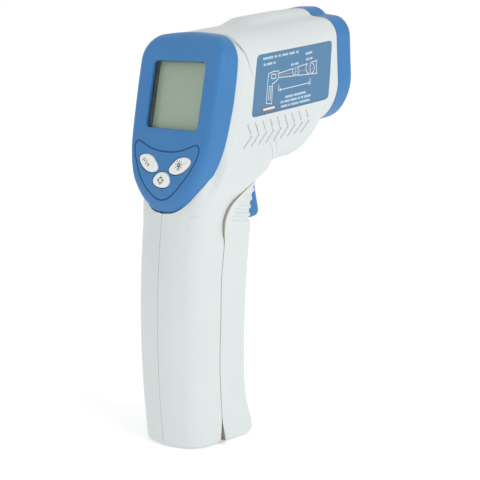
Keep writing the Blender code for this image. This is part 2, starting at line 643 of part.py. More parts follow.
def make_optics():
    axis = barrel_axis()
    barrel = turned("sensor_barrel", [(0, 7.6), (19, 7.6), (23, 9.1), (31.4, 9.1)],
                    at_barrel(66, 134.5), axis, BLACK, 28)
    funnel = [(0, 4.6), (2.4, 4.6), (2.4, 6.2), (4.2, 6.2), (4.2, 5.0), (18.5, 8.4)]
    cut(barrel, turned("funnel", funnel, at_barrel(79, 134.5), axis, BLACK, 28))
    cut(barrel, turned("chamber", [(0, 5.6), (14.5, 5.6)], at_barrel(65, 134.5), axis, BLACK, 28))
    turned("ir_lens", [(0, 5.8), (0.9, 5.8), (1.3, 3.0)], at_barrel(81.65, 134.5), axis, GERMANIUM, 24)
    turned("thermopile_sensor", [(0, 4.9), (0.8, 4.9), (0.8, 4.2), (5.2, 4.2), (5.5, 3.8)],
           at_barrel(68, 134.5), axis, STEEL, 24)
    turned("sensor_board", [(0, 9.0), (1.6, 9.0)], at_barrel(64.0, 134.5), axis, BOARD, 8)
    turned("laser_module", [(0, 2.2), (1.5, 2.6), (20.5, 2.6)], at_barrel(74, 153.2), axis, BRASS, 16)
    turned("laser_window", [(0, 1.95), (1.2, 1.95)], at_barrel(96.8, 153.2), axis, CLEAR, 16)


def make_power():
    """The battery on its tray, with its snap cap, and the leads up to the board."""
    half = BATTERY[0] / 2
    back, front = BATTERY_BACK, BATTERY_BACK + BATTERY[1]
    outline = rounded_outline([(-half, back), (half, back), (half, front), (-half, front)], 2.4)
    foot, top = BATTERY_FOOT, BATTERY_FOOT + BATTERY[2]
    battery = skin_rings("battery_9v", [[(x, y, z) for x, y in outline] for z in (foot, top)], BATTERY_SKIN)
    middle = (back + front) / 2
    join(battery, cylinder("small_stud", (6.4, middle, top - 0.5), (0, 0, 1), 3.0, 2.9, STEEL, 14))
    join(battery, cylinder("large_stud", (-6.4, middle, top - 0.5), (0, 0, 1), 3.0, 3.9, STEEL, 6))
    snap = rounded_outline([(-12, middle - 6), (12, middle - 6), (12, middle + 6), (-12, middle + 6)], 3)
    skin_rings("battery_snap", [[(x, y, z) for x, y in snap] for z in (top + 2.9, top + 6.4)], BLACK)
    tray = box("battery_tray", (-11.8, 6.4, 12.5), (11.8, 8.0, 66.0), WHITE)
    join(tray, box("shelf", (-11.8, 7.0, 12.5), (11.8, 24.0, 18.6)))
    cut(tray, box("shelf_hollow", (-10.0, 8.6, 11.0), (10.0, 30.0, 16.8)))
    for name, x, material in (("lead_red", 3.0, RED), ("lead_black", -3.0, BLACK)):
        route = [(x * 2, middle, top + 6.8), (x * 1.6, middle - 1, top + 10), (x, 14.6, 84.0),
                 (x, 13.6, 90.0), (x, 14.2, 95.0), (x, 14.6, 99.4)]
        tube(name, route, 0.65, material)
    tube("sensor_cable", [(0, 50.6, 131.6), (0, 47.0, 131.0), (2.0, 41.0, 127.0), (4.0, 34.0, 124.5),
                          (5.0, 27.0, 125.0), (5.0, 21.4, 126.0)], 1.1, BLACK)
    tube("laser_cable", [(0, 58.6, 151.6), (-1.0, 54.0, 150.5), (-4.0, 44.0, 145.0), (-6.0, 34.0, 141.0),
                         (-6.0, 24.6, 138.4)], 0.8, BLACK)


def make_labels():
    outline = rounded_outline(LABEL_OUTLINE, 1.8)
    outline = shifted_line(outline + outline[:1], -0.25)[:-1]
    prism_x("right_label", outline, 20.2, 20.5, LABEL)
    prism_x("left_label", outline, -20.5, -20.2, LABEL)


def centre_on_axis(name, y, z):
    """Put a moving piece's origin on its joint's axis."""
    obj = bpy.data.objects[name]
    pivot = to_world(0.0, y, z)
    obj.data.transform(Matrix.Translation(-pivot))
    obj.location = pivot


make_housings()
make_housing_screws()
make_bezel()
make_nose_cap()
make_door()
make_buttons()
make_trigger()
make_door_pin()
make_display()
make_boards()
make_optics()
make_power()
make_labels()
centre_on_axis("battery_door", *DOOR_PIVOT)
centre_on_axis("trigger", *TRIGGER_PIVOT)
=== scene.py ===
"""Looks of the infrared thermometer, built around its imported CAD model.

Side-view sizes are in millimetres from the handle's back edge at its foot: x to the user's right,
y towards the nose, z up.  world() turns them into metres in the frame of the CAD model.
"""

from contextlib import contextmanager
from math import cos, hypot, pi, radians, sin

import bmesh
import bpy
import numpy as np
from mathutils import Matrix, Quaternion, Vector

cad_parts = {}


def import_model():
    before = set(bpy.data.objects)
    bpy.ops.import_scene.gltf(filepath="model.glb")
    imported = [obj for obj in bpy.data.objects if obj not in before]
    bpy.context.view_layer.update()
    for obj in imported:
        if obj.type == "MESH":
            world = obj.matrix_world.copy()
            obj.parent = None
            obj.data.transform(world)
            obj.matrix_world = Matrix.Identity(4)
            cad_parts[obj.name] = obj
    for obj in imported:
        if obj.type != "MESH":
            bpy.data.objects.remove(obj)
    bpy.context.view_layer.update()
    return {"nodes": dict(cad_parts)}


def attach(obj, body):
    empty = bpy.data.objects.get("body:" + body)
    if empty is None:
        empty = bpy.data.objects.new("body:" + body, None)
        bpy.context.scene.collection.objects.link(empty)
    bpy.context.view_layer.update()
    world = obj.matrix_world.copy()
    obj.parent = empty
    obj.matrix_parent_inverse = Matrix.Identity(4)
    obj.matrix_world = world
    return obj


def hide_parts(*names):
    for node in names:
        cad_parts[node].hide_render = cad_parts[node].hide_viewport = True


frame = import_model()

# ---------------------------------------------------------------- driving sizes (mm)
MM = 0.001
SHIFT = -42.5                # side-view y of the handle's back edge, seen from the CAD's origin
SEAM_GAP = 0.13              # half of the line between two mouldings
PART_GAP = 0.06              # the same between the two casing halves
SHELL = 1.9                  # wall of the mouldings
EDGE_BEVEL = 0.16            # softening of the mouldings' edges

# the barrel rises by its slope; distances along it are measured on the barrel's own axis
BARREL_SLOPE = 0.1
BARREL_AXIS = 134.5          # height of the sensor's axis at the seam
NOSE_SEAM = 89.5             # distance at which the barrel's heights are given
NOSE_SPLIT = 88.3            # where the nose cap's edge shows
NOSE_FRONT = 98.3
NOSE_BEHIND = 82.0           # a section of the casing that lines up with the cap
NOSE_HALF = 20.5
NOSE_TOP, NOSE_BOTTOM = (156.6, 2.2), (114.9, 0.2)     # height, and how far it leans ahead
NOSE_EDGE = 3.0
FUNNEL_RADIUS, FUNNEL_EDGE, FUNNEL_END = 10.4, 0.8, 92.0
BEAM_HOLE = (94, 153.2, 2.3)          # the laser's hole: distance, height and radius
RIB_HALF, RIB_FLAT, RIB_HEIGHT = 8.4, 3.2, 2.5
RIB_START, RIB_FULL = 37.0, 45.5      # side-view y between which the rib rises from the roof
ROOF_LOW = 148.0                      # stations whose outer z is higher lie along the roof

FACE_TILT = radians(12.3)
FACE_CENTRE = (7.9, 129.2)
WINDOW_HALF = (13.2, 12.35)
WINDOW_RIM, WINDOW_RIM_CORNER, WINDOW_CORNER = 1.7, 3.2, 1.8

# outer (y, z), inner (y, z), half-width, crown and corner radius outside, the same inside
STATIONS = [
    (66.0, 155.8, 70.2, 110.0, 20.9, 2.5, 8, 5.0, 12),
    (58.0, 155.0, 64.2, 105.0, 21.0, 2.5, 8, 4.5, 11),
    (50.0, 154.2, 58.5, 102.7, 21.0, 2.5, 8, 4.0, 11),
    (44.0, 153.6, 53.0, 102.6, 21.0, 2.5, 8, 3.5, 11),
    (38.0, 153.0, 49.5, 102.5, 21.0, 2.5, 8, 2.0, 11),
    (30.0, 152.2, 46.6, 102.2, 21.0, 2.5, 8, 1.5, 11),
    (22.0, 151.4, 44.8, 101.8, 21.0, 2.5, 8, 1.0, 11),
    (16.0, 150.8, 43.6, 101.2, 21.0, 2.5, 8, 1.0, 11),
    (13.0, 148.0, 42.6, 100.2, 21.0, 2.5, 7, 1.0, 11),
    (11.2, 135.0, 41.2, 97.8, 21.0, 2.0, 6, 1.0, 11),
    (9.4, 125.5, 40.5, 96.2, 21.0, 2.0, 6, 1.0, 11),
    (7.6, 116.0, 39.8, 94.2, 20.9, 2.5, 6, 1.0, 11),
    (5.8, 107.4, 39.2, 91.6, 20.2, 4.0, 6, 1.0, 11),
    (4.0, 100.0, 38.6, 88.6, 18.7, 4.0, 6, 1.0, 11),
    (2.4, 94.0, 38.1, 85.4, 17.6, 4.5, 5.5, 1.0, 11),
    (1.2, 88.5, 37.7, 81.9, 17.0, 5.0, 5, 1.0, 11),
    (0.2, 81.0, 37.2, 77.4, 16.6, 5.5, 5, 1.0, 11),
    (-0.8, 73.2, 36.6, 71.5, 16.4, 5.5, 5, 1.0, 11),
    (-1.9, 60.5, 35.5, 60.0, 16.2, 5.5, 5, 1.0, 11),
    (-2.5, 42.0, 34.3, 42.0, 16.1, 5.5, 5, 1.0, 11),
    (-2.1, 24.0, 34.2, 24.0, 15.7, 5.3, 5, 1.0, 10.5),
    (-1.4, 13.0, 35.3, 13.0, 15.3, 5.0, 5, 1.0, 10),
    (-0.6, 5.0, 38.2, 5.0, 14.8, 4.5, 5, 1.0, 9),
]
FOOT = [
    (-0.4, 1.8, 38.8, 1.8, 14.6, 4.3, 5, 1.0, 9),
    (0.0, 0.6, 38.6, 0.6, 14.2, 4.2, 5, 1.0, 9),
    (0.9, 0.0, 37.7, 0.0, 13.3, 4.0, 5, 1.0, 8.5),
]
BEZEL_WIDTHS = [(86.8, 0.0), (87.0, 3.2), (87.6, 5.6), (89, 8.1), (91, 10.4), (93.5, 12.5), (96, 14.3),
                (99, 16.2), (103.5, 18.3), (109, 19.7), (114, 20.3), (120, 20.6), (127, 20.8),
                (135, 20.9), (142, 20.9)]
BEZEL_FACE = [(86.8, 1.8), (88.5, 0.9), (92.1, 0.3), (96, 0.4), (99, 0.8), (104.5, 2.3), (113.6, 4.4),
              (117.1, 5.2), (127, 7.35), (134, 8.85), (141.3, 10.5), (146, 11.9), (151, 14.0)]
BEZEL_FRONT = [(86.8, 2.4), (88.6, 4.4), (92.7, 7.6), (96.8, 9.4), (100.4, 10.1), (104.3, 11.1),
               (109.1, 12.7), (121.4, 16.0), (127.3, 17.4), (139.5, 19.4), (151, 19.7)]
FINE_FROM, FINE_TO = 130.0, 75.0      # outer z between which the stations lie closest
BEZEL_TIP, BEZEL_FULL = 86.8, 122.0   # above the second height the bezel spans the whole head
BEZEL_TOP, BEZEL_CORNER, BEZEL_EDGE, BEZEL_CROWN = 151.4, 9.0, 3.0, 0.8
DOOR_SEAM = [(70.0, 99.0), (44.0, 100.2), (36.6, 101.0), (29.4, 98.1), (23.5, 93.2), (19.1, 89.0),
             (16.8, 84.7), (16.2, 80.2), (16.2, 75.5), (15.5, 69.2), (14.6, 60.3), (14.3, 47.4),
             (13.8, 32.6), (14.5, 19.2), (15.5, 10.2)]
CASING_FOOT = [(15.6, 5.0), (15.4, 0.0), (15.4, -6.0)]
DOOR_FOOT = [(16.4, 6.0), (18.3, 0.0), (20.6, -6.0)]
SCREWS = [(33.0, 146.6), (62.0, 115.0), (5.2, 72.0), (4.6, 9.8)]
SCREW_WELL = (2.7, -7.6)              # radius, and the x of its floor
TRIGGER_SLOT = 5.7                    # half-width of the opening for the trigger
SLOT_BACK, SLOT_FRONT, SLOT_LOW, SLOT_HIGH = 33.5, 49.5, 95.0, 107.5
DOOR_SLOT_LOW = 79.2
KEY_PROUD = 0.5
DOOR_RIBS = [(31.8, 97.1), (28.5, 94.5), (25.7, 92.0), (23.5, 89.5), (21.9, 86.9), (20.5, 84.3)]
TRIGGER_PIVOT = (39.0, 107.5)
TRIGGER_LINE = [(44.9, 100.9), (45.7, 96.0), (46.6, 90.8), (47.9, 85.0), (48.2, 82.9), (47.6, 81.6),
                (46.0, 80.9), (42.0, 80.6), (36.0, 81.2), (33.9, 83.5), (33.6, 92.0), (34.6, 99.0)]
KEYPAD_LINE = [(0, 109.05), (4.5, 109.3), (8.6, 110.15), (12.0, 111.4), (14.1, 112.2), (15.3, 112.05),
               (16.3, 110.7), (15.8, 107.8), (14.5, 104.9), (12.2, 101.0), (8.5, 96.6), (5.2, 93.8),
               (2.9, 92.4), (0, 91.8)]
SIDE_KEY = [(2.75, 102.7), (3.25, 104.2), (4.7, 105.7), (6.5, 107.05), (9.0, 107.7), (11.6, 107.5),
            (12.95, 106.6), (12.8, 105.2), (11.35, 103.5), (9.2, 102.05), (6.6, 101.3), (4.0, 101.55)]
LOWER_KEY = [(-4.3, 98.2), (-4.0, 99.7), (-2.85, 101.1), (-1.0, 101.8), (1.0, 101.8), (2.85, 101.1),
             (4.0, 99.7), (4.3, 98.2), (3.2, 96.9), (1.2, 96.25), (-1.2, 96.25), (-3.2, 96.9)]
LABEL_CORNERS = [(29.6, 143.1), (72.9, 147.1), (70.8, 125.0), (26.3, 120.7)]
LABEL_POCKET, LABEL_BACK, LABEL_FACE, LABEL_ROUNDING = 20.15, 20.2, 20.5, 1.9
CHEVRON = [(24.3, 118.3), (26.1, 114.1), (22.0, 110.1)]
CHEVRON_COUNT, CHEVRON_STEP, CHEVRON_HALF, CHEVRON_DEPTH = 9, (4.05, 0.425), 0.36, 0.4


# ---------------------------------------------------------------- small geometry helpers
def world(points):
    """Side-view millimetres to metres in the CAD's frame."""
    return (np.asarray(points, float) + (0.0, SHIFT, 0.0)) * MM


def between(a, b, c, d, steps):
    """steps points of a Catmull-Rom curve from b towards c, with the neighbours a and d."""
    t = np.linspace(0, 1, steps, endpoint=False)[:, None]
    return 0.5 * (2 * b + (c - a) * t + (2 * a - 5 * b + 4 * c - d) * t ** 2
                  + (3 * b - a - 3 * c + d) * t ** 3)


def smooth_path(points, steps=8, closed=False):
    """A Catmull-Rom curve through points."""
    p = np.asarray(points, float)
    if closed:
        p = np.vstack([p[-1], p, p[0], p[1]])
    else:
        p = np.vstack([2 * p[0] - p[1], p, 2 * p[-1] - p[-2]])
    curve = [between(*four, steps) for four in zip(p, p[1:], p[2:], p[3:])]
    if not closed:
        curve.append(p[-2:-1])
    return np.vstack(curve)


def resample(points, count, closed=False):
    """count points at equal steps of length along a polyline."""
    p = np.asarray(points, float)
    if closed:
        p = np.vstack([p, p[:1]])
    length = np.concatenate([[0], np.cumsum(np.linalg.norm(np.diff(p, axis=0), axis=1))])
    goal = np.linspace(0, length[-1], count, endpoint=not closed)
    return np.stack([np.interp(goal, length, p[:, k]) for k in range(p.shape[1])], axis=1)


def smoothstep(value, low, high):
    t = np.clip((value - low) / (high - low), 0.0, 1.0)
    return t * t * (3 - 2 * t)


def signed_distance(points, line):
    """Distance in the side view to a polyline, positive on the left of its direction."""
    best = np.full(len(points), 1e9)
    sign = np.ones(len(points))
    for a, b in zip(line[:-1], line[1:]):
        run = b - a
        t = np.clip(((points - a) @ run) / (run @ run), 0, 1)
        offset = points - (a + t[:, None] * run)
        distance = np.hypot(offset[:, 0], offset[:, 1])
        nearer = distance < best
        side = np.sign(run[0] * (points[:, 1] - a[1]) - run[1] * (points[:, 0] - a[0]))
        best = np.where(nearer, distance, best)
        sign = np.where(nearer, side, sign)
    return best * sign


def curve_table(table, steps=6):
    """A smooth (key, value) table, denser than the points that shape it."""
    dense = smooth_path(table, steps)
    return dense[:, 0], dense[:, 1]


FACE_Z, FACE_Y = curve_table(BEZEL_FACE)
FRONT_Z, FRONT_Y = curve_table(BEZEL_FRONT)
WIDTH_Z, WIDTH_X = curve_table(BEZEL_WIDTHS)


def face_y(z):
    return np.interp(z, FACE_Z, FACE_Y)


def front_y(z):
    return np.interp(z, FRONT_Z, FRONT_Y)


def face_point(x, along, depth):
    """A point on the straight plane of the display: along runs up it, depth into the body."""
    y = FACE_CENTRE[0] + along * sin(FACE_TILT) + depth * cos(FACE_TILT)
    z = FACE_CENTRE[1] + along * cos(FACE_TILT) - depth * sin(FACE_TILT)
    return (x, y, z)


# ---------------------------------------------------------------- mesh helpers
def linked(name, data):
    obj = bpy.data.objects.new(name, data)
    bpy.context.scene.collection.objects.link(obj)
    return obj


def mesh_object(name, vertices, faces, material):
    """A smooth-shaded mesh from side-view millimetres."""
    mesh = bpy.data.meshes.new(name)
    mesh.from_pydata(world(vertices).tolist(), [], faces)
    mesh.materials.append(material)
    mesh.shade_smooth()
    return linked(name, mesh)


@contextmanager
def editing(mesh):
    """A mesh opened for editing and written back."""
    bm = bmesh.new()
    bm.from_mesh(mesh)
    yield bm
    bm.to_mesh(mesh)
    bm.free()


def outward(obj):
    """Join points that coincide and turn the faces of a closed mesh outward."""
    with editing(obj.data) as bm:
        bmesh.ops.remove_doubles(bm, verts=bm.verts, dist=2e-6)
        bmesh.ops.recalc_face_normals(bm, faces=bm.faces)
    return obj


def weld(obj):
    """Join the points of an open surface that coincide."""
    with editing(obj.data) as bm:
        bmesh.ops.remove_doubles(bm, verts=bm.verts, dist=1e-5)
    return obj


def grid_faces(rows, columns, closed=False, flip=False):
    faces = []
    last = columns if closed else columns - 1
    for i in range(rows - 1):
        for j in range(last):
            k = (j + 1) % columns
            quad = (i * columns + j, i * columns + k, (i + 1) * columns + k, (i + 1) * columns + j)
            faces.append(quad[::-1] if flip else quad)
    return faces


def skin(name, rings, material, caps=True):
    """Quads through equal closed rings, with a face over each end unless the rings meet."""
    rings = [np.asarray(ring, float) for ring in rings]
    count = len(rings[0])
    faces = grid_faces(len(rings), count, True)
    if caps:
        faces.append(tuple(range(count))[::-1])
        faces.append(tuple(range((len(rings) - 1) * count, len(rings) * count)))
    return outward(mesh_object(name, np.vstack(rings), faces, material))


def modified(obj, kind, **settings):
    """Apply one modifier to obj."""
    modifier = obj.modifiers.new("step", kind)
    for key, value in settings.items():
        setattr(modifier, key, value)
    depsgraph = bpy.context.evaluated_depsgraph_get()
    old = obj.data
    mesh = bpy.data.meshes.new_from_object(obj.evaluated_get(depsgraph))
    obj.modifiers.clear()
    obj.data = mesh
    bpy.data.meshes.remove(old)
    return obj


def thicken(obj, rim=None):
    """Give a surface the mouldings' wall, inward, with its own material on the cut edge: a darker tan there
    is painted shade inside the seam.
    """
    if rim:
        obj.data.materials.append(rim)
    return modified(obj, "SOLIDIFY", thickness=SHELL * MM, offset=-1.0, material_offset_rim=1 if rim else 0)


def soften(obj, width=EDGE_BEVEL):
    return modified(obj, "BEVEL", width=width * MM, segments=2, limit_method="ANGLE",
                    angle_limit=radians(50), use_clamp_overlap=True, material=0)


def boolean(target, cutter, operation="DIFFERENCE"):
    """Combine cutter with target and remove it."""
    modified(target, "BOOLEAN", operation=operation, solver="EXACT", material_mode="TRANSFER", object=cutter)
    bpy.data.objects.remove(cutter, do_unlink=True)


def shade(obj):
    """Smooth shading that keeps edges over 40 degrees sharp and flat faces flat."""
    obj.data.shade_smooth()
    obj.data.set_sharp_from_angle(angle=radians(40))
    modified(obj, "WEIGHTED_NORMAL", keep_sharp=True, weight=80)


def join_objects(name, objects):
    """One mesh from several, in the order given."""
    bm = bmesh.new()
    materials = []
    for obj in objects:
        start = len(bm.faces)
        bm.from_mesh(obj.data)
        bm.faces.ensure_lookup_table()
        for face in bm.faces[start:]:
            material = obj.data.materials[face.material_index]
            if material not in materials:
                materials.append(material)
            face.material_index = materials.index(material)
    mesh = bpy.data.meshes.new(name)
    bm.to_mesh(mesh)
    bm.free()
    for material in materials:
        mesh.materials.append(material)
    for obj in objects:
        bpy.data.objects.remove(obj, do_unlink=True)
    return linked(name, mesh)


def mirrored(name, source):
    """A copy of source, reflected to the other side of the middle plane."""
    bm = bmesh.new()
    bm.from_mesh(source.data)
    bm.transform(Matrix.Scale(-1, 4, (1, 0, 0)))
    bmesh.ops.reverse_faces(bm, faces=bm.faces)
    mesh = bpy.data.meshes.new(name)
    bm.to_mesh(mesh)
    bm.free()
    for material in source.data.materials:
        mesh.materials.append(material)
    return linked(name, mesh)


def turned(name, profile, start, direction, material, segments):
    """A turned piece from (distance, radius) points along direction."""
    axis = Vector(direction).normalized()
    side = Vector((1, 0, 0)) if abs(axis.x) < 0.9 else Vector((0, 1, 0))
    side = (side - axis * side.dot(axis)).normalized()
    other = axis.cross(side)
    angles = np.linspace(0, 2 * pi, segments, endpoint=False)
    rings = []
    for distance, radius in profile:
        centre = np.array(Vector(start) + axis * distance)
        ring = centre + radius * (np.outer(np.cos(angles), side) + np.outer(np.sin(angles), other))
        rings.append(ring)
    return skin(name, rings, material)


def prism_x(name, outline, x_low, x_high, material):
    """A (y, z) outline carried from x_low to x_high."""
    rings = [[(x, y, z) for y, z in outline] for x in (x_low, x_high)]
    return skin(name, rings, material)


def rounded(corners, radius, steps=6):
    """Polygon corners replaced by short curves."""
    points = []
    for i, corner in enumerate(corners):
        here = Vector(corner)
        start = here + (Vector(corners[i - 1]) - here).normalized() * radius
        end = here + (Vector(corners[(i + 1) % len(corners)]) - here).normalized() * radius
        for k in range(steps + 1):
            t = k / steps
            points.append(tuple(start * (1 - t) ** 2 + here * (2 * t * (1 - t)) + end * t ** 2))
    return points


# ---------------------------------------------------------------- materials
class Shader:
    """A Principled material with a few helpers for its nodes."""

    def __init__(self, name, roughness=0.45, metallic=0.0, **values):
        self.material = bpy.data.materials.new(name)
        self.material.use_nodes = True
        self.tree = self.material.node_tree
        self.bsdf = self.tree.nodes["Principled BSDF"]
        self.fill(self.bsdf, Roughness=roughness, Metallic=metallic, **values)
        self.coordinates = self.tree.nodes.new("ShaderNodeTexCoord").outputs["Object"]

    def fill(self, node, **values):
        for key, value in values.items():
            node.inputs[key.replace("_", " ")].default_value = value

    def node(self, kind, entry, source, **values):
        """A node of this kind with source linked to its entry."""
        node = self.tree.nodes.new("ShaderNode" + kind)
        self.fill(node, **values)
        self.tree.links.new(source, node.inputs[entry])
        return node

    def set(self, socket, output):
        self.tree.links.new(output, self.bsdf.inputs[socket])

    def noise(self, scale, detail=3.0, roughness=0.55, stretch=None):
        vector = self.coordinates
        if stretch:
            vector = self.node("Mapping", "Vector", vector, Scale=stretch).outputs["Vector"]
        node = self.node("TexNoise", "Vector", vector, Scale=scale, Detail=detail, Roughness=roughness)
        return node.outputs["Fac"]

    def colour(self, factor, stops):
        node = self.node("ValToRGB", "Fac", factor)
        for element, (position, colour) in zip(node.color_ramp.elements, stops):
            element.position = position
            element.color = (*colour, 1.0)
        self.set("Base Color", node.outputs["Color"])

    def rough(self, factor, low, high):
        node = self.node("MapRange", "Value", factor, To_Min=low, To_Max=high)
        self.set("Roughness", node.outputs["Result"])

    def bump(self, factor, strength, distance):
        node = self.node("Bump", "Height", factor, Strength=strength, Distance=distance)
        self.set("Normal", node.outputs["Normal"])


def shades(colour, spread):
    """A darker and a lighter version of a colour, for the ends of a ramp."""
    return tuple(c * (1 - spread) for c in colour), tuple(min(c * (1 + spread), 1.0) for c in colour)


def moulded(name, colour, roughness, grain=0.10, spread=0.03, **values):
    """Moulded plastic: faint cloudy colour, a fine spark-eroded grain and uneven gloss."""
    shader = Shader(name, roughness, **values)
    dark, light = shades(colour, spread)
    shader.colour(shader.noise(38, 4), [(0.35, dark), (0.65, light)])
    shader.rough(shader.noise(160, 3), roughness - 0.05, roughness + 0.05)
    shader.bump(shader.noise(5200, 2, 0.6), grain, 0.00004)
    return shader.material


def metal(name, colour, roughness, stretch=(1, 1, 1)):
    """Bare metal with a fine noise in its colour, gloss and surface, drawn out by stretch."""
    shader = Shader(name, roughness, 1.0)
    dark, light = shades(colour, 0.12)
    brushed = shader.noise(900, 3, 0.6, stretch)
    shader.colour(brushed, [(0.3, dark), (0.7, light)])
    shader.rough(brushed, roughness - 0.06, roughness + 0.08)
    shader.bump(brushed, 0.12, 0.00003)
    return shader.material


WHITE = moulded("white_shell", (0.655, 0.705, 0.70), 0.40, 0.10, 0.012, Specular_IOR_Level=0.42)
BLUE = moulded("blue_shell", (0.039, 0.190, 0.452), 0.42, 0.16, 0.03, Specular_IOR_Level=0.40)
# darker blue for the walls of the keypad groove and key holes: painted shade in those recesses
GROOVE_SHADE = moulded("blue_groove_painted_shade", (0.012, 0.09, 0.25), 0.55, 0.1, 0.04)
# darker tan for the white mouldings' cut edges: painted shade inside the seams
SEAM_SHADE = moulded("white_shell_edge_painted_shade", (0.46, 0.43, 0.33), 0.5, 0.05, 0.03)
KEY_WHITE = moulded("key_white", (0.80, 0.83, 0.81), 0.45, 0.06, 0.015)
PRINT_DARK = moulded("key_print", (0.07, 0.08, 0.07), 0.5, 0.05, 0.06)
BLACK = moulded("black_plastic", (0.018, 0.018, 0.02), 0.45, 0.2, 0.15)
SILICONE = moulded("grey_silicone", (0.22, 0.23, 0.24), 0.7, 0.2, 0.05)
BOARD = moulded("circuit_board", (0.02, 0.13, 0.05), 0.35, 0.3, 0.12)
RED = moulded("red_insulation", (0.55, 0.03, 0.02), 0.35, 0.1, 0.05)
BATTERY = moulded("battery_wrap", (0.09, 0.10, 0.12), 0.3, 0.08, 0.06)
LABEL = moulded("label_film", (0.076, 0.203, 0.352), 0.38, 0.14, 0.03)
LABEL_INK = moulded("label_ink", (0.72, 0.80, 0.84), 0.45, 0.06, 0.03)
CAPTION_INK = moulded("caption_ink", (0.42, 0.56, 0.66), 0.45, 0.06, 0.04)
BOX_INK = moulded("box_ink", (0.16, 0.17, 0.15), 0.45, 0.06, 0.04)
PANEL_DARK = moulded("panel_frame", (0.10, 0.115, 0.115), 0.4, 0.06, 0.05)
BEAM_INK = moulded("beam_ink", (0.55, 0.30, 0.22), 0.45, 0.06, 0.03)
LENS = moulded("lens_film", (0.10, 0.10, 0.11), 0.15, 0.05, 0.1)
STEEL = metal("zinc_steel", (0.60, 0.60, 0.61), 0.28)
BRASS = metal("turned_brass", (0.66, 0.48, 0.20), 0.25, (1, 8, 1))


def make_lcd_material():
    """The resting panel: a plain grey-green."""
    shader = Shader("lcd_panel", 0.25, Specular_IOR_Level=0.5, Coat_Weight=0.6, Coat_Roughness=0.08)
    shader.colour(shader.noise(30, 3), [(0.3, (0.47, 0.59, 0.45)), (0.7, (0.50, 0.62, 0.475))])
    shader.bump(shader.noise(2600, 2), 0.02, 0.00002)
    return shader.material


def make_window_material():
    shader = Shader("clear_window", 0.05, Transmission_Weight=1.0, IOR=1.2)
    shader.colour(shader.noise(20, 2), [(0.3, (0.93, 0.95, 0.94)), (0.7, (0.96, 0.97, 0.96))])
    shader.rough(shader.noise(60, 2), 0.03, 0.06)
    return shader.material


LCD = make_lcd_material()
CLEAR = make_window_material()


# ---------------------------------------------------------------- the body's outer form
def at_barrel(distance, height):
    """Side-view (y, z) of a point that lies at this height on the seam's plane, carried along."""
    length = hypot(1, BARREL_SLOPE)
    ay, az = 1 / length, BARREL_SLOPE / length
    return ((NOSE_SEAM - height * az) / ay + ay * (distance - NOSE_SEAM),
            height + az * (distance - NOSE_SEAM))


def nose_station(distance, inset=0.0):
    """The nose cap's section at a distance along the barrel, drawn in all round by inset."""
    values = []
    for (height, ahead), drawn in ((NOSE_TOP, -inset), (NOSE_BOTTOM, inset)):
        y, z = at_barrel(distance, height + drawn)
        values += [y + ahead, z]
    return (*values, NOSE_HALF - inset, 2.0, 6.2, 5.0, 12)


def dense_stations(stations):
    """Stations on a smooth curve through the given ones, closest together beside the trigger."""
    parts = []
    for i in range(len(stations) - 1):
        steps = 16 if FINE_FROM > stations[i][1] > FINE_TO else 7
        window = [stations[max(i - 1, 0)], stations[i], stations[i + 1]]
        window.append(stations[min(i + 2, len(stations) - 1)])
        parts.append(between(*np.asarray(window, float), steps))
    dense = np.vstack(parts + [np.asarray(stations[-1:], float)])
    for _ in range(16):
        dense[1:-1] = (dense[:-2] + 2 * dense[1:-1] + dense[2:]) / 4
    return dense


def crowned_edge(width, crown, radius, samples):
    """Half-widths, and depths below the middle, along a bowed side that ends in a round corner."""
    flat = width - radius
    x = np.linspace(0, flat, samples, endpoint=False)
    depth = crown * (x / width) ** 2
    angle = np.linspace(0, pi / 2, samples)
    corner_x = flat + radius * np.sin(angle)
    corner = crown * (corner_x / width) ** 2 + radius * (1 - np.cos(angle))
    return np.concatenate([x, corner_x]), np.concatenate([depth, corner])


def section(station, rib, samples=70):
    """Half of the section as (x, y, z) points, from the outer middle round to the inner middle."""
    oy, oz, iy, iz, width, crown_o, radius_o, crown_i, radius_i = station
    span = hypot(iy - oy, iz - oz)
    x1, depth1 = crowned_edge(width, crown_o, radius_o, samples)
    rise = np.clip((RIB_HALF - x1) / (RIB_HALF - RIB_FLAT), 0, 1)
    depth1 = depth1 - rib * (1 - (1 - rise) ** 2.2)
    x2, depth2 = crowned_edge(width, crown_i, radius_i, samples)
    x = np.concatenate([x1, x2[::-1]])
    depth = np.concatenate([depth1, span - depth2[::-1]])
    points = np.stack([x, oy + (iy - oy) / span * depth, oz + (iz - oz) / span * depth], axis=1)
    return resample(points, 6 * samples)


CASING_SEAM = smooth_path(DOOR_SEAM + CASING_FOOT, 6)
DOOR_EDGE = smooth_path(DOOR_SEAM + DOOR_FOOT, 6)
BEZEL_EDGE_LINE = np.stack([FRONT_Y, FRONT_Z], axis=1)


def outside_bezel(p):
    """Positive where a point of the body's form lies outside the space that the bezel fills."""
    far_wider = 30.0
    width = np.where(p[:, 2] < BEZEL_FULL, np.interp(p[:, 2], WIDTH_Z, WIDTH_X), far_wider)
    ahead = p[:, 1] - front_y(p[:, 2])
    beside = np.abs(p[:, 0]) - width
    below = BEZEL_TIP - p[:, 2]
    return np.maximum(np.maximum(ahead, beside), below) - SEAM_GAP


def crossing(value, rising_last=True):
    """The fractional index where value turns positive for the last time, or the first time."""
    if rising_last:
        inside = np.nonzero(value <= 0)[0]
        i = inside[-1] if len(inside) else -1
    else:
        outside = np.nonzero(value > 0)[0]
        i = outside[0] - 1 if len(outside) else len(value) - 1
    if i < 0:
        return 0.0
    if i + 1 >= len(value):
        return float(len(value) - 1)
    return i + value[i] / (value[i] - value[i + 1])


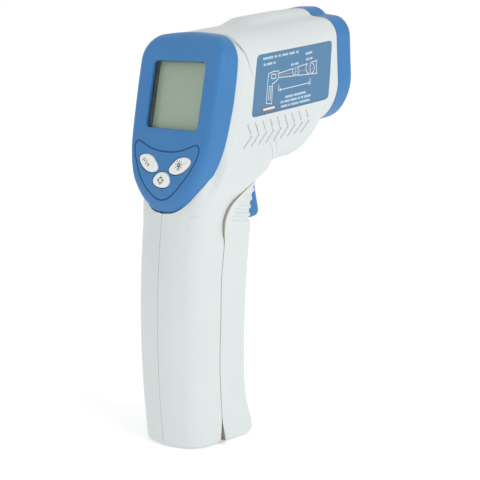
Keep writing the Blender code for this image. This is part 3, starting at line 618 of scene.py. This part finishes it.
def arc(points, start, end, count):
    """count points between two fractional indices, close together towards either end."""
    near, far = 14, 12
    span = end - start
    fine = min(1.4, span / (count - 1))
    steps = np.concatenate([fine * np.arange(near),
                            np.linspace(fine * near, span - fine * far, count - near - far),
                            span - fine * np.arange(far - 1, -1, -1)])
    base = np.arange(len(points))
    return np.stack([np.interp(start + steps, base, points[:, k]) for k in range(3)], axis=1)


def collar(points):
    """The casing is chamfered down towards the bezel from a crest a few millimetres ahead of it."""
    side = points[:, 1:]
    ahead = np.abs(signed_distance(side, BEZEL_EDGE_LINE))
    reach = np.interp(side[:, 1], [100, 117, 130], [2.2, 2.9, 3.1])
    drop = 0.85 * np.clip(1 - ahead / reach, 0, 1)
    crest = 0.12 * np.exp(-((ahead - reach - 0.3) / 0.5) ** 2)
    return np.where(side[:, 0] < 34, (drop - crest) * smoothstep(side[:, 1], 90, 100), 0.0)


def scoop(points):
    """The hollow for a fingernail beside the door's seam."""
    side = points[:, 1:]
    seam = np.abs(signed_distance(side, CASING_SEAM))
    height = np.exp(-((side[:, 1] - 85.5) / 8.0) ** 4)
    return np.where(side[:, 0] < 30, 1.15 * height * np.clip(1 - seam / 6.2, 0, 1) ** 1.5, 0.0)


def thinned(points):
    """The door is drawn in around the trigger."""
    depth = np.interp(points[:, 2], [79, 83, 88.5, 92, 95, 99, 101.5, 104],
                      [0, 0.6, 1.4, 2.2, 2.8, 2.8, 1.6, 0])
    return depth * smoothstep(points[:, 1], 27.5, 32.5)


def ribs(points):
    """The thinned door, with six grooves that cross its upper corners."""
    depth = thinned(points)
    for y_left, z_left in DOOR_RIBS:
        z_line = z_left - 0.14 * (points[:, 1] - y_left)
        across = smoothstep(-np.abs(points[:, 2] - z_line), -1.0, -0.62)
        along = smoothstep(points[:, 1], y_left - 0.4, y_left + 0.2)
        depth += 0.5 * across * along
    return depth


def push_in(rows, amount):
    """Move grid points inward along the surface's normal by amount(points)."""
    grid = np.array(rows)
    normal = np.cross(np.gradient(grid, axis=1), np.gradient(grid, axis=0))
    normal /= np.maximum(np.linalg.norm(normal, axis=2, keepdims=True), 1e-9)
    depth = amount(grid.reshape(-1, 3)).reshape(grid.shape[:2])
    return grid + normal * depth[..., None]


def body_rows():
    """The body's sections from the nose cap back along the roof and down to the foot."""
    stations = [nose_station(NOSE_SPLIT - SEAM_GAP), nose_station(NOSE_BEHIND)] + STATIONS + FOOT[:1]
    rows = []
    for row in np.vstack([dense_stations(stations), smooth_path(FOOT, 4)[1:]]):
        rib = RIB_HEIGHT * smoothstep(row[0], RIB_START, RIB_FULL) if row[1] > ROOF_LOW else 0.0
        rows.append(section(row, rib))
    return rows


def make_casings(sections):
    """Both casing halves: a surface as far as the bezel and the door, then its wall."""
    rows = []
    for points in sections:
        half = len(points) // 2
        start = crossing(outside_bezel(points[:half]))
        end = crossing(signed_distance(points[:, 1:], CASING_SEAM) + SEAM_GAP, False)
        rows.append(arc(points, start, end, 84))
    grid = push_in(rows, lambda p: collar(p) + scoop(p))
    grid[..., 0] = np.maximum(grid[..., 0], PART_GAP)
    last = grid[-1]
    middle = np.linspace((PART_GAP, *last[0, 1:]), (PART_GAP, *last[-1, 1:]), len(last))
    grid = np.vstack([grid, [last + (middle - last) * k / 4 for k in range(1, 5)]])
    count, columns = grid.shape[:2]
    right = mesh_object("right_casing", grid.reshape(-1, 3), grid_faces(count, columns, flip=True), WHITE)
    weld(right)
    drop_inside(right, [((TRIGGER_SLOT, 0, 0), (1, 0, 0)),
                        ((0, SLOT_BACK, 0), (0, -1, 0)), ((0, SLOT_FRONT, 0), (0, 1, 0)),
                        ((0, 0, SLOT_LOW), (0, 0, -1)), ((0, 0, SLOT_HIGH), (0, 0, 1))])
    sink(right, [np.array(rounded(LABEL_CORNERS, LABEL_ROUNDING, 4))], flat_x=LABEL_POCKET)
    for k in range(CHEVRON_COUNT):
        line = np.array(CHEVRON) + (CHEVRON_STEP[0] * k, CHEVRON_STEP[1] * k)
        one, two, three, four, five, six = strip_outline(line, CHEVRON_HALF)
        arms = [np.array([one, two, five, six]), np.array([two, three, four, five])]
        sink(right, arms, deeper=CHEVRON_DEPTH)
    left = mirrored("left_casing", right)
    angles = np.linspace(0, 2 * pi, 24, endpoint=False)
    radius, well_floor = SCREW_WELL
    for y, z in SCREWS:
        well = np.array([(y + radius * cos(a), z + radius * sin(a)) for a in angles])
        sink(left, [well], flat_x=well_floor)
    for casing, node in ((right, "right_housing"), (left, "left_housing")):
        # the cut edges get the painted seam shade
        soften(thicken(casing, SEAM_SHADE))
        place(casing, "body", "white_shell", node)


def place(piece, body, slot, *nodes):
    """Finish a piece's shading and tie it to the frame."""
    shade(piece)
    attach(piece, body)
    if nodes:
        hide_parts(*nodes)


def clip(bm, faces, planes):
    """Cut faces along planes and return those behind all of them."""
    for point, normal in planes:
        point, normal = Vector(world([point])[0]), Vector(normal)
        near = set(faces)
        near.update(edge for face in faces for edge in face.edges)
        near.update(vertex for face in faces for vertex in face.verts)
        result = bmesh.ops.bisect_plane(bm, geom=list(near), plane_co=point, plane_no=normal, dist=1e-6)
        cut = [g for g in result["geom"] if isinstance(g, bmesh.types.BMFace)]
        faces = [f for f in cut if (f.calc_center_median() - point).dot(normal) < 0]
    return faces


def drop_inside(obj, planes):
    """Open a surface where it lies behind every plane."""
    with editing(obj.data) as bm:
        bmesh.ops.delete(bm, geom=clip(bm, list(bm.faces), planes), context="FACES")


def outline_planes(outline):
    """The upright planes through the edges of a convex (y, z) outline."""
    centre = outline.mean(axis=0)
    planes = []
    for a, b in zip(outline, np.roll(outline, -1, axis=0)):
        normal = np.array([b[1] - a[1], a[0] - b[0]])
        normal *= np.sign(normal @ (a - centre))
        planes.append(((0, *a), (0, *(normal / np.linalg.norm(normal)))))
    return planes


def sink(obj, outlines, flat_x=None, deeper=0.0):
    """Press the part of a side surface inside convex (y, z) outlines down, with upright walls."""
    every = np.vstack(outlines)
    low, high = world([(0, *(every.min(axis=0) - 2)), (0, *(every.max(axis=0) + 2))])
    with editing(obj.data) as bm:
        side = 1.0 if sum((f.calc_center_median().x for f in bm.faces), 0.0) > 0 else -1.0
        chosen = []
        for outline in outlines:
            near = []
            for face in bm.faces:
                c = face.calc_center_median()
                if low[1] < c.y < high[1] and low[2] < c.z < high[2] and c.x * side > 4 * MM:
                    near.append(face)
            chosen += clip(bm, near, outline_planes(outline))
        result = bmesh.ops.extrude_face_region(bm, geom=chosen)
        left_over = [face for face in chosen if face.is_valid]
        bmesh.ops.delete(bm, geom=left_over, context="FACES")
        for vertex in result["geom"]:
            if isinstance(vertex, bmesh.types.BMVert):
                vertex.co.x = vertex.co.x - deeper * MM * side if flat_x is None else flat_x * MM
        bmesh.ops.remove_doubles(bm, verts=bm.verts, dist=1.5e-5)


def strip_outline(line, half_width, ends=True):
    """The outline of a polyline drawn with a pen of the given half-width."""
    line = np.asarray(line, float)
    run = np.diff(line, axis=0)
    run /= np.linalg.norm(run, axis=1, keepdims=True)
    run = np.vstack([run[:1], run, run[-1:]])
    left, right = [], []
    for i, (point, one, two) in enumerate(zip(line, run, run[1:])):
        direction = (one + two) / np.linalg.norm(one + two)
        normal = np.array([-direction[1], direction[0]])
        reach = half_width / max(float(direction @ one), 0.3)
        if ends and i in (0, len(line) - 1):
            point = point + direction * half_width * (1 if i else -1) * 0.6
        left.append(tuple(point + normal * reach))
        right.append(tuple(point - normal * reach))
    return left + right[::-1]


# ---------------------------------------------------------------- the other shells
def make_door(sections):
    """The battery door: the rest of the body's form, across the middle, then its wall."""
    rows = []
    for points in sections:
        last = len(points) - 1
        start = crossing(signed_distance(points[:, 1:], DOOR_EDGE) - SEAM_GAP, False)
        if start < 0.985 * last:
            half = arc(points, start, last, 64)
            rows.append(np.vstack([half, half[-2::-1] * (-1, 1, 1)]))
    grid = push_in(rows, ribs)
    last = grid[-1]
    edge = np.linspace(last[0], last[-1], len(last))
    grid = np.vstack([grid, [last + (edge - last) * k / 5 for k in range(1, 6)]])
    count, columns = grid.shape[:2]
    door = mesh_object("door_shell", grid.reshape(-1, 3), grid_faces(count, columns, flip=True), WHITE)
    weld(door)
    drop_inside(door, [((TRIGGER_SLOT, 0, 0), (1, 0, 0)), ((-TRIGGER_SLOT, 0, 0), (-1, 0, 0)),
                       ((0, 0, DOOR_SLOT_LOW), (0, 0, -1))])
    # the cut edges get the painted seam shade
    soften(thicken(door, SEAM_SHADE))
    place(door, "battery_door", "white_shell", "battery_door")


def loop_normals(loop):
    """Unit normals of a closed 2-D loop, on the right of its direction."""
    run = np.roll(loop, -1, axis=0) - np.roll(loop, 1, axis=0)
    normal = np.stack([run[:, 1], -run[:, 0]], axis=1)
    normal /= np.linalg.norm(normal, axis=1, keepdims=True)
    return normal


def bezel_loop(count):
    """The bezel's outline from behind as (x, z), once round from its lowest point."""
    side = smooth_path([(width, z) for z, width in BEZEL_WIDTHS if z < 140], 10)
    flat = BEZEL_WIDTHS[-1][1] - BEZEL_CORNER
    shoulder = BEZEL_TOP - BEZEL_CROWN - BEZEL_CORNER
    corner = [(flat + BEZEL_CORNER * cos(a), shoulder + BEZEL_CORNER * sin(a))
              for a in np.linspace(0, pi / 2, 14)]
    top = [(x, BEZEL_TOP - BEZEL_CROWN * (x / flat) ** 2) for x in np.linspace(flat, 0, 16)[1:]]
    half = np.vstack([side, corner, top])
    whole = np.vstack([half, half[-2:0:-1] * (-1, 1)])
    loop = resample(whole, count, True)
    for _ in range(3):
        loop = (np.roll(loop, 1, axis=0) + 2 * loop + np.roll(loop, -1, axis=0)) / 4
    return loop


def window_loop(directions, grow, corner):
    """Points of the display window's rounded outline in the given directions from its centre."""
    half_x, half_z = WINDOW_HALF[0] + grow, WINDOW_HALF[1] * cos(FACE_TILT) + grow
    points = []
    for dx, dz in directions:
        reach = min(half_x / max(abs(dx), 1e-9), half_z / max(abs(dz), 1e-9))
        x, z = abs(dx) * reach, abs(dz) * reach
        cx, cz = half_x - corner, half_z - corner
        if x > cx and z > cz:
            along = abs(dx) * cx + abs(dz) * cz
            away = along ** 2 - (cx ** 2 + cz ** 2 - corner ** 2)
            reach = along + max(away, 0) ** 0.5
            x, z = abs(dx) * reach, abs(dz) * reach
        points.append((x * np.sign(dx), FACE_CENTRE[1] + z * np.sign(dz)))
    return np.array(points)


def on_face(loop, depth):
    """Lay an (x, z) loop on the bezel's face, depth millimetres into it."""
    return np.stack([loop[:, 0], face_y(loop[:, 1]) + depth, loop[:, 1]], axis=1)


def make_bezel():
    """Rings from the bezel's front edge over its face to the window, then the groove and key holes."""
    count = 288
    outline = bezel_loop(count)
    inward = -loop_normals(outline)
    radius = np.minimum(BEZEL_EDGE, 0.8 * (front_y(outline[:, 1]) - face_y(outline[:, 1])))
    rings = []
    for t in np.linspace(1, 0, 6):
        base = face_y(outline[:, 1]) + radius
        y = base + (front_y(outline[:, 1]) - SEAM_GAP - base) * t
        rings.append(np.stack([outline[:, 0], y, outline[:, 1]], axis=1))
    for angle in np.linspace(0, pi / 2, 11)[1:]:
        loop = outline + inward * (radius * (1 - cos(angle)))[:, None]
        rings.append(on_face(loop, radius * (1 - sin(angle))))
    inner = outline + inward * radius[:, None]
    directions = inner - (0, FACE_CENTRE[1])
    directions /= np.linalg.norm(directions, axis=1, keepdims=True)
    rim = window_loop(directions, WINDOW_RIM, WINDOW_RIM_CORNER)
    for t in np.linspace(0, 1, 30)[1:]:
        rings.append(on_face(inner + (rim - inner) * t, 0.0))
    for t in np.linspace(0, 1, 9)[1:]:
        corner = WINDOW_RIM_CORNER + (WINDOW_CORNER - WINDOW_RIM_CORNER) * t
        loop = window_loop(directions, WINDOW_RIM * (1 - t), corner)
        rings.append(on_face(loop, 0.75 * t ** 2.0))
    edge = rings[-1]
    for depth in (0.3, 0.9, 1.6):
        rings.append(edge + (0, depth * cos(FACE_TILT), -depth * sin(FACE_TILT)))
    bezel = mesh_object("bezel", np.vstack(rings), grid_faces(len(rings), count, True), BLUE)
    soften(thicken(weld(bezel)), 0.2)
    boolean(bezel, groove_tube())
    for loop in KEYS.values():
        # the holes' walls take the darker blue: painted shade in the gap round each key
        boolean(bezel, face_prism("hole", grown(loop, 0.22), -6, 12, GROOVE_SHADE))
    place(bezel, "body", "blue_shell", "display_bezel")


def grown(loop, distance):
    """A closed loop moved outward by distance, or inward when it is negative."""
    return loop + loop_normals(loop) * distance


def face_prism(name, loop, near, far, material):
    """A closed (x, z) loop carried from near to far along the way the keys move."""
    rings = [on_face(loop, 0.0) + (0, d * cos(FACE_TILT), -d * sin(FACE_TILT)) for d in (near, far)]
    return skin(name, rings, material)


def counterclockwise(loop):
    """The loop in the direction that has its outside on the right."""
    area = np.sum(loop[:, 0] * np.roll(loop[:, 1], -1) - np.roll(loop[:, 0], -1) * loop[:, 1])
    return loop if area > 0 else loop[::-1]


KEYS = {
    "button_backlight": counterclockwise(smooth_path(SIDE_KEY, 8, True)),
    "button_units": counterclockwise(smooth_path([(-x, z) for x, z in SIDE_KEY], 8, True)),
    "button_laser": counterclockwise(smooth_path(LOWER_KEY, 8, True)),
}


def groove_tube():
    """The cutter for the fine line round the keypad; its darker blue, passed to the groove's walls, is
    painted shade.
    """
    half = np.array(KEYPAD_LINE, float)
    line = np.vstack([half, half[-2:0:-1] * (-1, 1)])
    loop = resample(smooth_path(line, 10, True), 220, True)
    run = np.roll(loop, -1, axis=0) - np.roll(loop, 1, axis=0)
    run /= np.linalg.norm(run, axis=1, keepdims=True)
    rings = []
    for point, (tx, tz) in zip(on_face(loop, 0.02), run):
        ring = [point + 0.30 * np.array([cos(a) * tz, sin(a), -cos(a) * tx])
                for a in np.linspace(0, 2 * pi, 8, endpoint=False)]
        rings.append(ring)
    rings.append(rings[0])
    return skin("groove", rings, GROOVE_SHADE, caps=False)


def make_keys():
    for name, loop in KEYS.items():
        rings = [on_face(loop, 3.2), on_face(loop, 1.6)]
        for angle in np.linspace(0, pi / 2, 9):
            inset = grown(loop, -1.15 * (1 - cos(angle)))
            rings.append(on_face(inset, 0.35 - (0.35 + KEY_PROUD) * sin(angle)))
        cap = skin(name + "_cap", rings, KEY_WHITE)
        icon = make_icon(name)
        key = join_objects(name + "_key", [cap, icon])
        place(key, name, "button_white", name)


def make_icon(name):
    """Dark print on a key: two rings and a slash, a lamp with rays, or a sighting ring."""
    if name == "button_units":
        rings = [((-9.9, 105.7), 0.45), ((-7.7, 104.0), 0.45)]
        lines = [[(-8.3, 105.7), (-9.2, 104.0)]]
    elif name == "button_backlight":
        rings = [((7.9, 104.9), 0.75), ((7.9, 104.9), 0.45)]
        lines = rays((7.9, 104.9), 1.2, 1.8, 9) + [[(7.9, 104.9), (7.9, 103.0)]]
    else:
        rings = [((0.0, 99.0), 1.05)]
        lines = rays((0.0, 99.0), 0.5, 1.7, 4)
    strips = []
    angles = np.linspace(0, 2 * pi, 20, endpoint=False)
    for (x, z), radius in rings:
        loops = []
        for r, depth in ((0.13, 0.08), (0.13, -0.025), (-0.13, -0.025), (-0.13, 0.08), (0.13, 0.08)):
            loop = np.stack([x + (radius + r) * np.cos(angles), z + (radius + r) * np.sin(angles)], axis=1)
            loops.append(on_face(loop, depth - KEY_PROUD))
        strips.append(skin("ring", loops, PRINT_DARK, caps=False))
    for line in lines:
        outline = np.array(strip_outline(line, 0.14, False))
        loops = [on_face(outline, depth - KEY_PROUD) for depth in (0.08, -0.025)]
        strips.append(skin("stroke", loops, PRINT_DARK))
    return join_objects("icon", strips)


def rays(centre, near, far, count):
    """Short strokes pointing away from centre all round it."""
    lines = []
    for k in range(count):
        angle = pi / 2 + 2 * pi * k / count
        lines.append([(centre[0] + r * cos(angle), centre[1] + r * sin(angle)) for r in (near, far)])
    return lines


def barrel_ring(points, distance, radius):
    """A circle about the barrel's axis, one point for each point of a section round it."""
    length = hypot(1, BARREL_SLOPE)
    up = np.array([0, -BARREL_SLOPE / length, 1 / length])
    centre = np.array([0, *at_barrel(distance, BARREL_AXIS)])
    offset = points - centre
    angle = np.arctan2(offset[:, 0], offset @ up)
    return centre + radius * (np.outer(np.sin(angle), (1, 0, 0)) + np.outer(np.cos(angle), up))


def nose_ring(distance, inset=0.0):
    half = section(nose_station(distance, inset), RIB_HEIGHT, 40)
    return np.vstack([half, half[-2:0:-1] * (-1, 1, 1)])


def make_nose_cap():
    """Rings along the cap's side, over its edge, across its face and into the sensor's funnel."""
    edge = NOSE_EDGE
    rings = [nose_ring(d) for d in np.linspace(NOSE_SPLIT + SEAM_GAP, NOSE_FRONT - edge, 9)]
    for angle in np.linspace(0, pi / 2, 10)[1:]:
        rings.append(nose_ring(NOSE_FRONT - edge * (1 - sin(angle)), edge * (1 - cos(angle))))
    outer = rings[-1]
    rim = barrel_ring(outer, NOSE_FRONT, FUNNEL_RADIUS)
    rings += [outer + (rim - outer) * t for t in np.linspace(0, 1, 9)[1:]]
    for angle in np.linspace(0, pi / 2, 6)[1:]:
        rings.append(barrel_ring(outer, NOSE_FRONT - FUNNEL_EDGE * (1 - cos(angle)),
                                 FUNNEL_RADIUS - FUNNEL_EDGE * sin(angle)))
    for distance in (FUNNEL_END + 4, FUNNEL_END + 2, FUNNEL_END):
        rings.append(barrel_ring(outer, distance, FUNNEL_RADIUS - FUNNEL_EDGE))
    cap = mesh_object("nose_shell", np.vstack(rings), grid_faces(len(rings), len(outer), True), BLUE)
    soften(thicken(weld(cap)))
    distance, height, radius = BEAM_HOLE
    start = (0, *at_barrel(distance, height))
    boolean(cap, turned("hole", [(0, radius), (10, radius)], start, (0, 1, BARREL_SLOPE), BLUE, 48))
    place(cap, "body", "blue_shell", "nose_cap")


def make_trigger():
    """The rounded handle, its neck and hub with the pin's bore, and a pocket for the spring."""
    loop = resample(smooth_path(TRIGGER_LINE, 8, True), 120, True)
    normal = loop_normals(loop)
    if ((loop - loop.mean(axis=0)) * normal).sum() < 0:
        normal = -normal
    rings = []
    half, edge = 5.0, 1.3
    for side in (-1, 1):
        for angle in np.linspace(0, pi / 2, 9)[::side]:
            inset = loop - normal * edge * (1 - cos(angle))
            x = side * (half - edge * (1 - sin(angle)))
            rings.append(np.column_stack([np.full(len(loop), x), inset]))
    grip = skin("grip", rings, BLUE)
    neck = prism_x("neck", rounded([(36.4, 96.0), (42.0, 96.0), (41.8, 107.5), (36.4, 107.5)], 0.6),
                   -4.6, 4.6, BLUE)
    hub = turned("hub", [(0, 3.0), (9.2, 3.0)], (-4.6, *TRIGGER_PIVOT), (1, 0, 0), BLUE, 48)
    bore = turned("bore", [(-1, 1.35), (11, 1.35)], (-4.6, *TRIGGER_PIVOT), (1, 0, 0), BLUE, 40)
    boolean(grip, neck, "UNION")
    boolean(grip, hub, "UNION")
    boolean(grip, bore)
    boolean(grip, turned("pocket", [(0, 3.4), (8, 3.4)], (0, 31.0, 85.4), (0, 1, 0), BLUE, 40))
    place(grip, "trigger", "blue_shell", "trigger")


# ---------------------------------------------------------------- display, labels
def face_slab(name, half_x, half_along, near, far, corner, material, edge=0.25):
    """A rounded plate parallel to the display, with softened edges."""
    corners = [(-half_x, -half_along), (half_x, -half_along), (half_x, half_along), (-half_x, half_along)]
    loop = np.array(rounded(corners, corner, 8))
    rings = []
    for inset, depth in ((edge, near), (edge * 0.3, near + edge * 0.3), (0, near + edge),
                         (0, far - edge), (edge * 0.3, far - edge * 0.3), (edge, far)):
        scaled = loop * ((half_x - inset) / half_x, (half_along - inset) / half_along)
        rings.append([face_point(x, along, depth) for x, along in scaled])
    return skin(name, rings, material)


def make_display():
    """The clear window, and behind it the liquid crystal glass in its dark frame."""
    window = face_slab("display_window", 13.6, 13.5, 1.45, 2.45, 1.5, CLEAR, 0.15)
    place(window, "body", "clear_window", "lcd_window")
    frame_plate = face_slab("panel", 14.2, 14.6, 2.7, 6.2, 0.8, PANEL_DARK)
    opening = face_slab("opening", 12.9, 12.9, 2.0, 4.1, 1.0, PANEL_DARK, 0.05)
    boolean(frame_plate, opening)
    glass = face_slab("glass", 12.75, 12.75, 4.02, 4.9, 0.5, LCD, 0.1)
    panel = join_objects("lcd_panel", [frame_plate, glass])
    place(panel, "body", "lcd_panel", "lcd_module")


def label_lines():
    """The label's drawing: a thermometer whose beam widens over two spots, and the distance below."""
    light = [
        [(36.3, 136.2), (39.3, 136.9), (41.9, 136.9), (41.5, 133.9), (39.3, 132.7), (38.2, 132.4),
         (38.3, 131.0), (37.8, 125.1), (34.9, 125.4), (35.6, 132.5), (36.3, 136.2)],
        [(37.9, 135.8), (40.3, 135.9), (40.1, 134.3), (37.9, 134.3), (37.9, 135.8)],
        [(36.6, 131.6), (38.1, 131.3)], [(36.0, 126.5), (36.7, 131.5)], [(37.0, 126.3), (37.6, 131.0)],
        [(41.8, 136.0), (64.0, 139.9)], [(41.9, 134.5), (64.0, 135.0)], [(63.4, 139.5), (63.6, 135.1)],
        [(41.8, 131.8), (41.8, 129.4)], [(59.8, 133.3), (59.8, 131.0)], [(42.1, 129.9), (59.7, 131.7)],
        [(43.0, 130.5), (42.1, 129.9), (43.1, 129.5)], [(58.8, 132.1), (59.7, 131.7), (58.9, 131.1)],
    ]
    angles = np.linspace(0, 2 * pi * 0.996, 25)
    for (y, z), width, height in (((51.5, 136.3), 1.85, 1.5), ((59.8, 137.1), 2.5, 2.1)):
        light.append([(y + width * cos(a), z + height * sin(a)) for a in angles])
        light.append([(y, z - height), (y, z + height)])
    return light


# start, end and the lengths of the words, for each line of the label's captions
CAPTIONS = [
    ((33.3, 141.6), (53.2, 143.5), (3.6, 1.0, 0.8, 2.2, 2.0, 1.0)),
    ((33.6, 139.4), (40.1, 140.1), (1.0, 2.4, 1.0)),
    ((57.1, 142.5), (61.0, 143.1), (3.6,)),
    ((57.4, 140.4), (61.2, 140.9), (1.6, 1.6)),
    ((48.8, 138.8), (53.1, 139.3), (1.6, 2.2)),
    ((45.4, 127.1), (57.2, 128.3), (4.2, 6.5)),
    ((42.8, 125.3), (60.1, 127.0), (1.6, 2.6, 3.6, 1.2, 1.3, 3.6)),
    ((43.0, 123.7), (59.5, 125.3), (3.4, 1.0, 4.0, 5.6)),
]
WORD_SPACE = 0.45


def caption(start, end, words):
    """Short bars from start to end that stand for a line of words."""
    bars = []
    total = sum(words) + WORD_SPACE * (len(words) - 1)
    at = 0.0
    for word in words:
        ends = [at / total, (at + word) / total]
        bars.append([tuple(np.array(start) + (np.array(end) - start) * t) for t in ends])
        at += word + WORD_SPACE
    return bars


def make_labels():
    """A film on either side, with its drawing and captions as thin slabs of ink."""
    ink = LABEL_FACE - 0.02
    word_top, line_top, beam_top, bar_top = 20.525, 20.53, 20.535, 20.54
    box = [(32.0, 124.0), (40.7, 124.8), (40.6, 122.9), (31.9, 122.1)]
    beam = strip_outline([(42.1, 135.3), (62.1, 137.0)], 0.11)
    box_bar = strip_outline([(33.2, 123.15), (39.5, 123.8)], 0.38, False)
    inner = [(y * 0.994 + 0.3, z * 0.994 + 0.8) for y, z in LABEL_CORNERS]
    words = [bar for line in CAPTIONS for bar in caption(*line)]
    for side, name in ((1, "right"), (-1, "left")):
        strips = [slab_x("film", rounded(inner, LABEL_ROUNDING), LABEL_BACK, LABEL_FACE, side, LABEL)]
        for line in label_lines():
            strips.append(slab_x("line", strip_outline(line, 0.13, False), ink, line_top, side, LABEL_INK))
        strips.append(slab_x("beam", beam, ink, beam_top, side, BEAM_INK))
        for bar in words:
            strips.append(slab_x("word", strip_outline(bar, 0.42, False), ink, word_top, side, CAPTION_INK))
        strips.append(slab_x("box", box, ink, word_top, side, BOX_INK))
        strips.append(slab_x("bar", box_bar, LABEL_FACE, bar_top, side, LABEL_INK))
        label = join_objects(f"{name}_label_film", strips)
        place(label, "body", "label_film", f"{name}_label")


def slab_x(name, outline, low, high, side, material):
    """A (y, z) outline between two distances from the middle plane, on the right (1) or left (-1)."""
    low, high = sorted((low * side, high * side))
    return prism_x(name, outline, low, high, material)


# the CAD nodes that stay in view as they are; the screws, pins, spring and sensor can are steel
NODE_MATERIALS = {
    "lcd_backlight": KEY_WHITE, "main_pcb": BOARD, "sensor_board": BOARD, "controller_chip": BLACK,
    "buzzer": BLACK, "keypad_membrane": SILICONE, "sensor_barrel": BLACK, "ir_lens": LENS,
    "laser_module": BRASS, "laser_window": CLEAR, "trigger_switch": BLACK, "battery_9v": BATTERY,
    "battery_tray": BLACK, "battery_snap": BLACK, "lead_red": RED, "lead_black": BLACK,
    "sensor_cable": BLACK, "laser_cable": RED,
}


def dress_nodes():
    for name, node in frame["nodes"].items():
        material = NODE_MATERIALS.get(name, STEEL)
        for slot in node.material_slots:
            slot.material = material


# ---------------------------------------------------------------- camera, floor and light
def make_camera():
    """Behind the right shoulder and a little above, turned slightly about its own axis."""
    azimuth, elevation, distance, roll = radians(42.64), radians(9.82), 0.556, radians(-0.43)
    back = Vector((sin(azimuth) * cos(elevation), -cos(azimuth) * cos(elevation), sin(elevation)))
    target = Vector((0.0064, -0.0070, 0.0732))
    data = bpy.data.cameras.new("camera")
    data.lens = 110.43
    data.sensor_width = 36.0
    camera = linked("camera", data)
    camera.location = target + back * distance
    turn = back.to_track_quat("Z", "Y") @ Quaternion((0, 0, 1), roll)
    camera.rotation_euler = turn.to_euler()
    bpy.context.scene.camera = camera


def make_key_light(location, aim, size, power):
    data = bpy.data.lights.new("key", "AREA")
    data.shape = "SQUARE"
    data.size = size
    data.energy = power
    light = linked("key", data)
    light.location = location
    light.rotation_euler = (Vector(location) - Vector(aim)).to_track_quat("Z", "Y").to_euler()


def make_studio():
    """A pale floor that runs past the picture's top, an even white surround and one soft light."""
    mesh = bpy.data.meshes.new("floor")
    size = 60.0
    mesh.from_pydata([(-size, -size, 0), (size, -size, 0), (size, size, 0), (-size, size, 0)], [],
                     [(0, 1, 2, 3)])
    floor = linked("floor", mesh)
    shader = Shader("floor_white", 0.9, Emission_Strength=0.25)
    shader.bsdf.inputs["Emission Color"].default_value = (1, 1, 1, 1)
    shader.colour(shader.noise(1.5, 2), [(0.3, (0.945, 0.94, 0.94)), (0.7, (0.955, 0.95, 0.95))])
    mesh.materials.append(shader.material)
    floor.location.z = -0.0004
    world_data = bpy.data.worlds.new("studio")
    world_data.use_nodes = True
    background = world_data.node_tree.nodes["Background"]
    background.inputs["Color"].default_value = (1.0, 1.0, 1.0, 1.0)
    background.inputs["Strength"].default_value = 0.80
    bpy.context.scene.world = world_data
    make_key_light((1.3, -0.15, 0.75), (0, 0, 0.09), 0.8, 5)
    bpy.context.scene.view_settings.view_transform = "Standard"


make_camera()
make_studio()
dress_nodes()
body_sections = body_rows()
make_casings(body_sections)
make_door(body_sections)
make_bezel()
make_keys()
make_nose_cap()
make_trigger()
make_display()
make_labels()
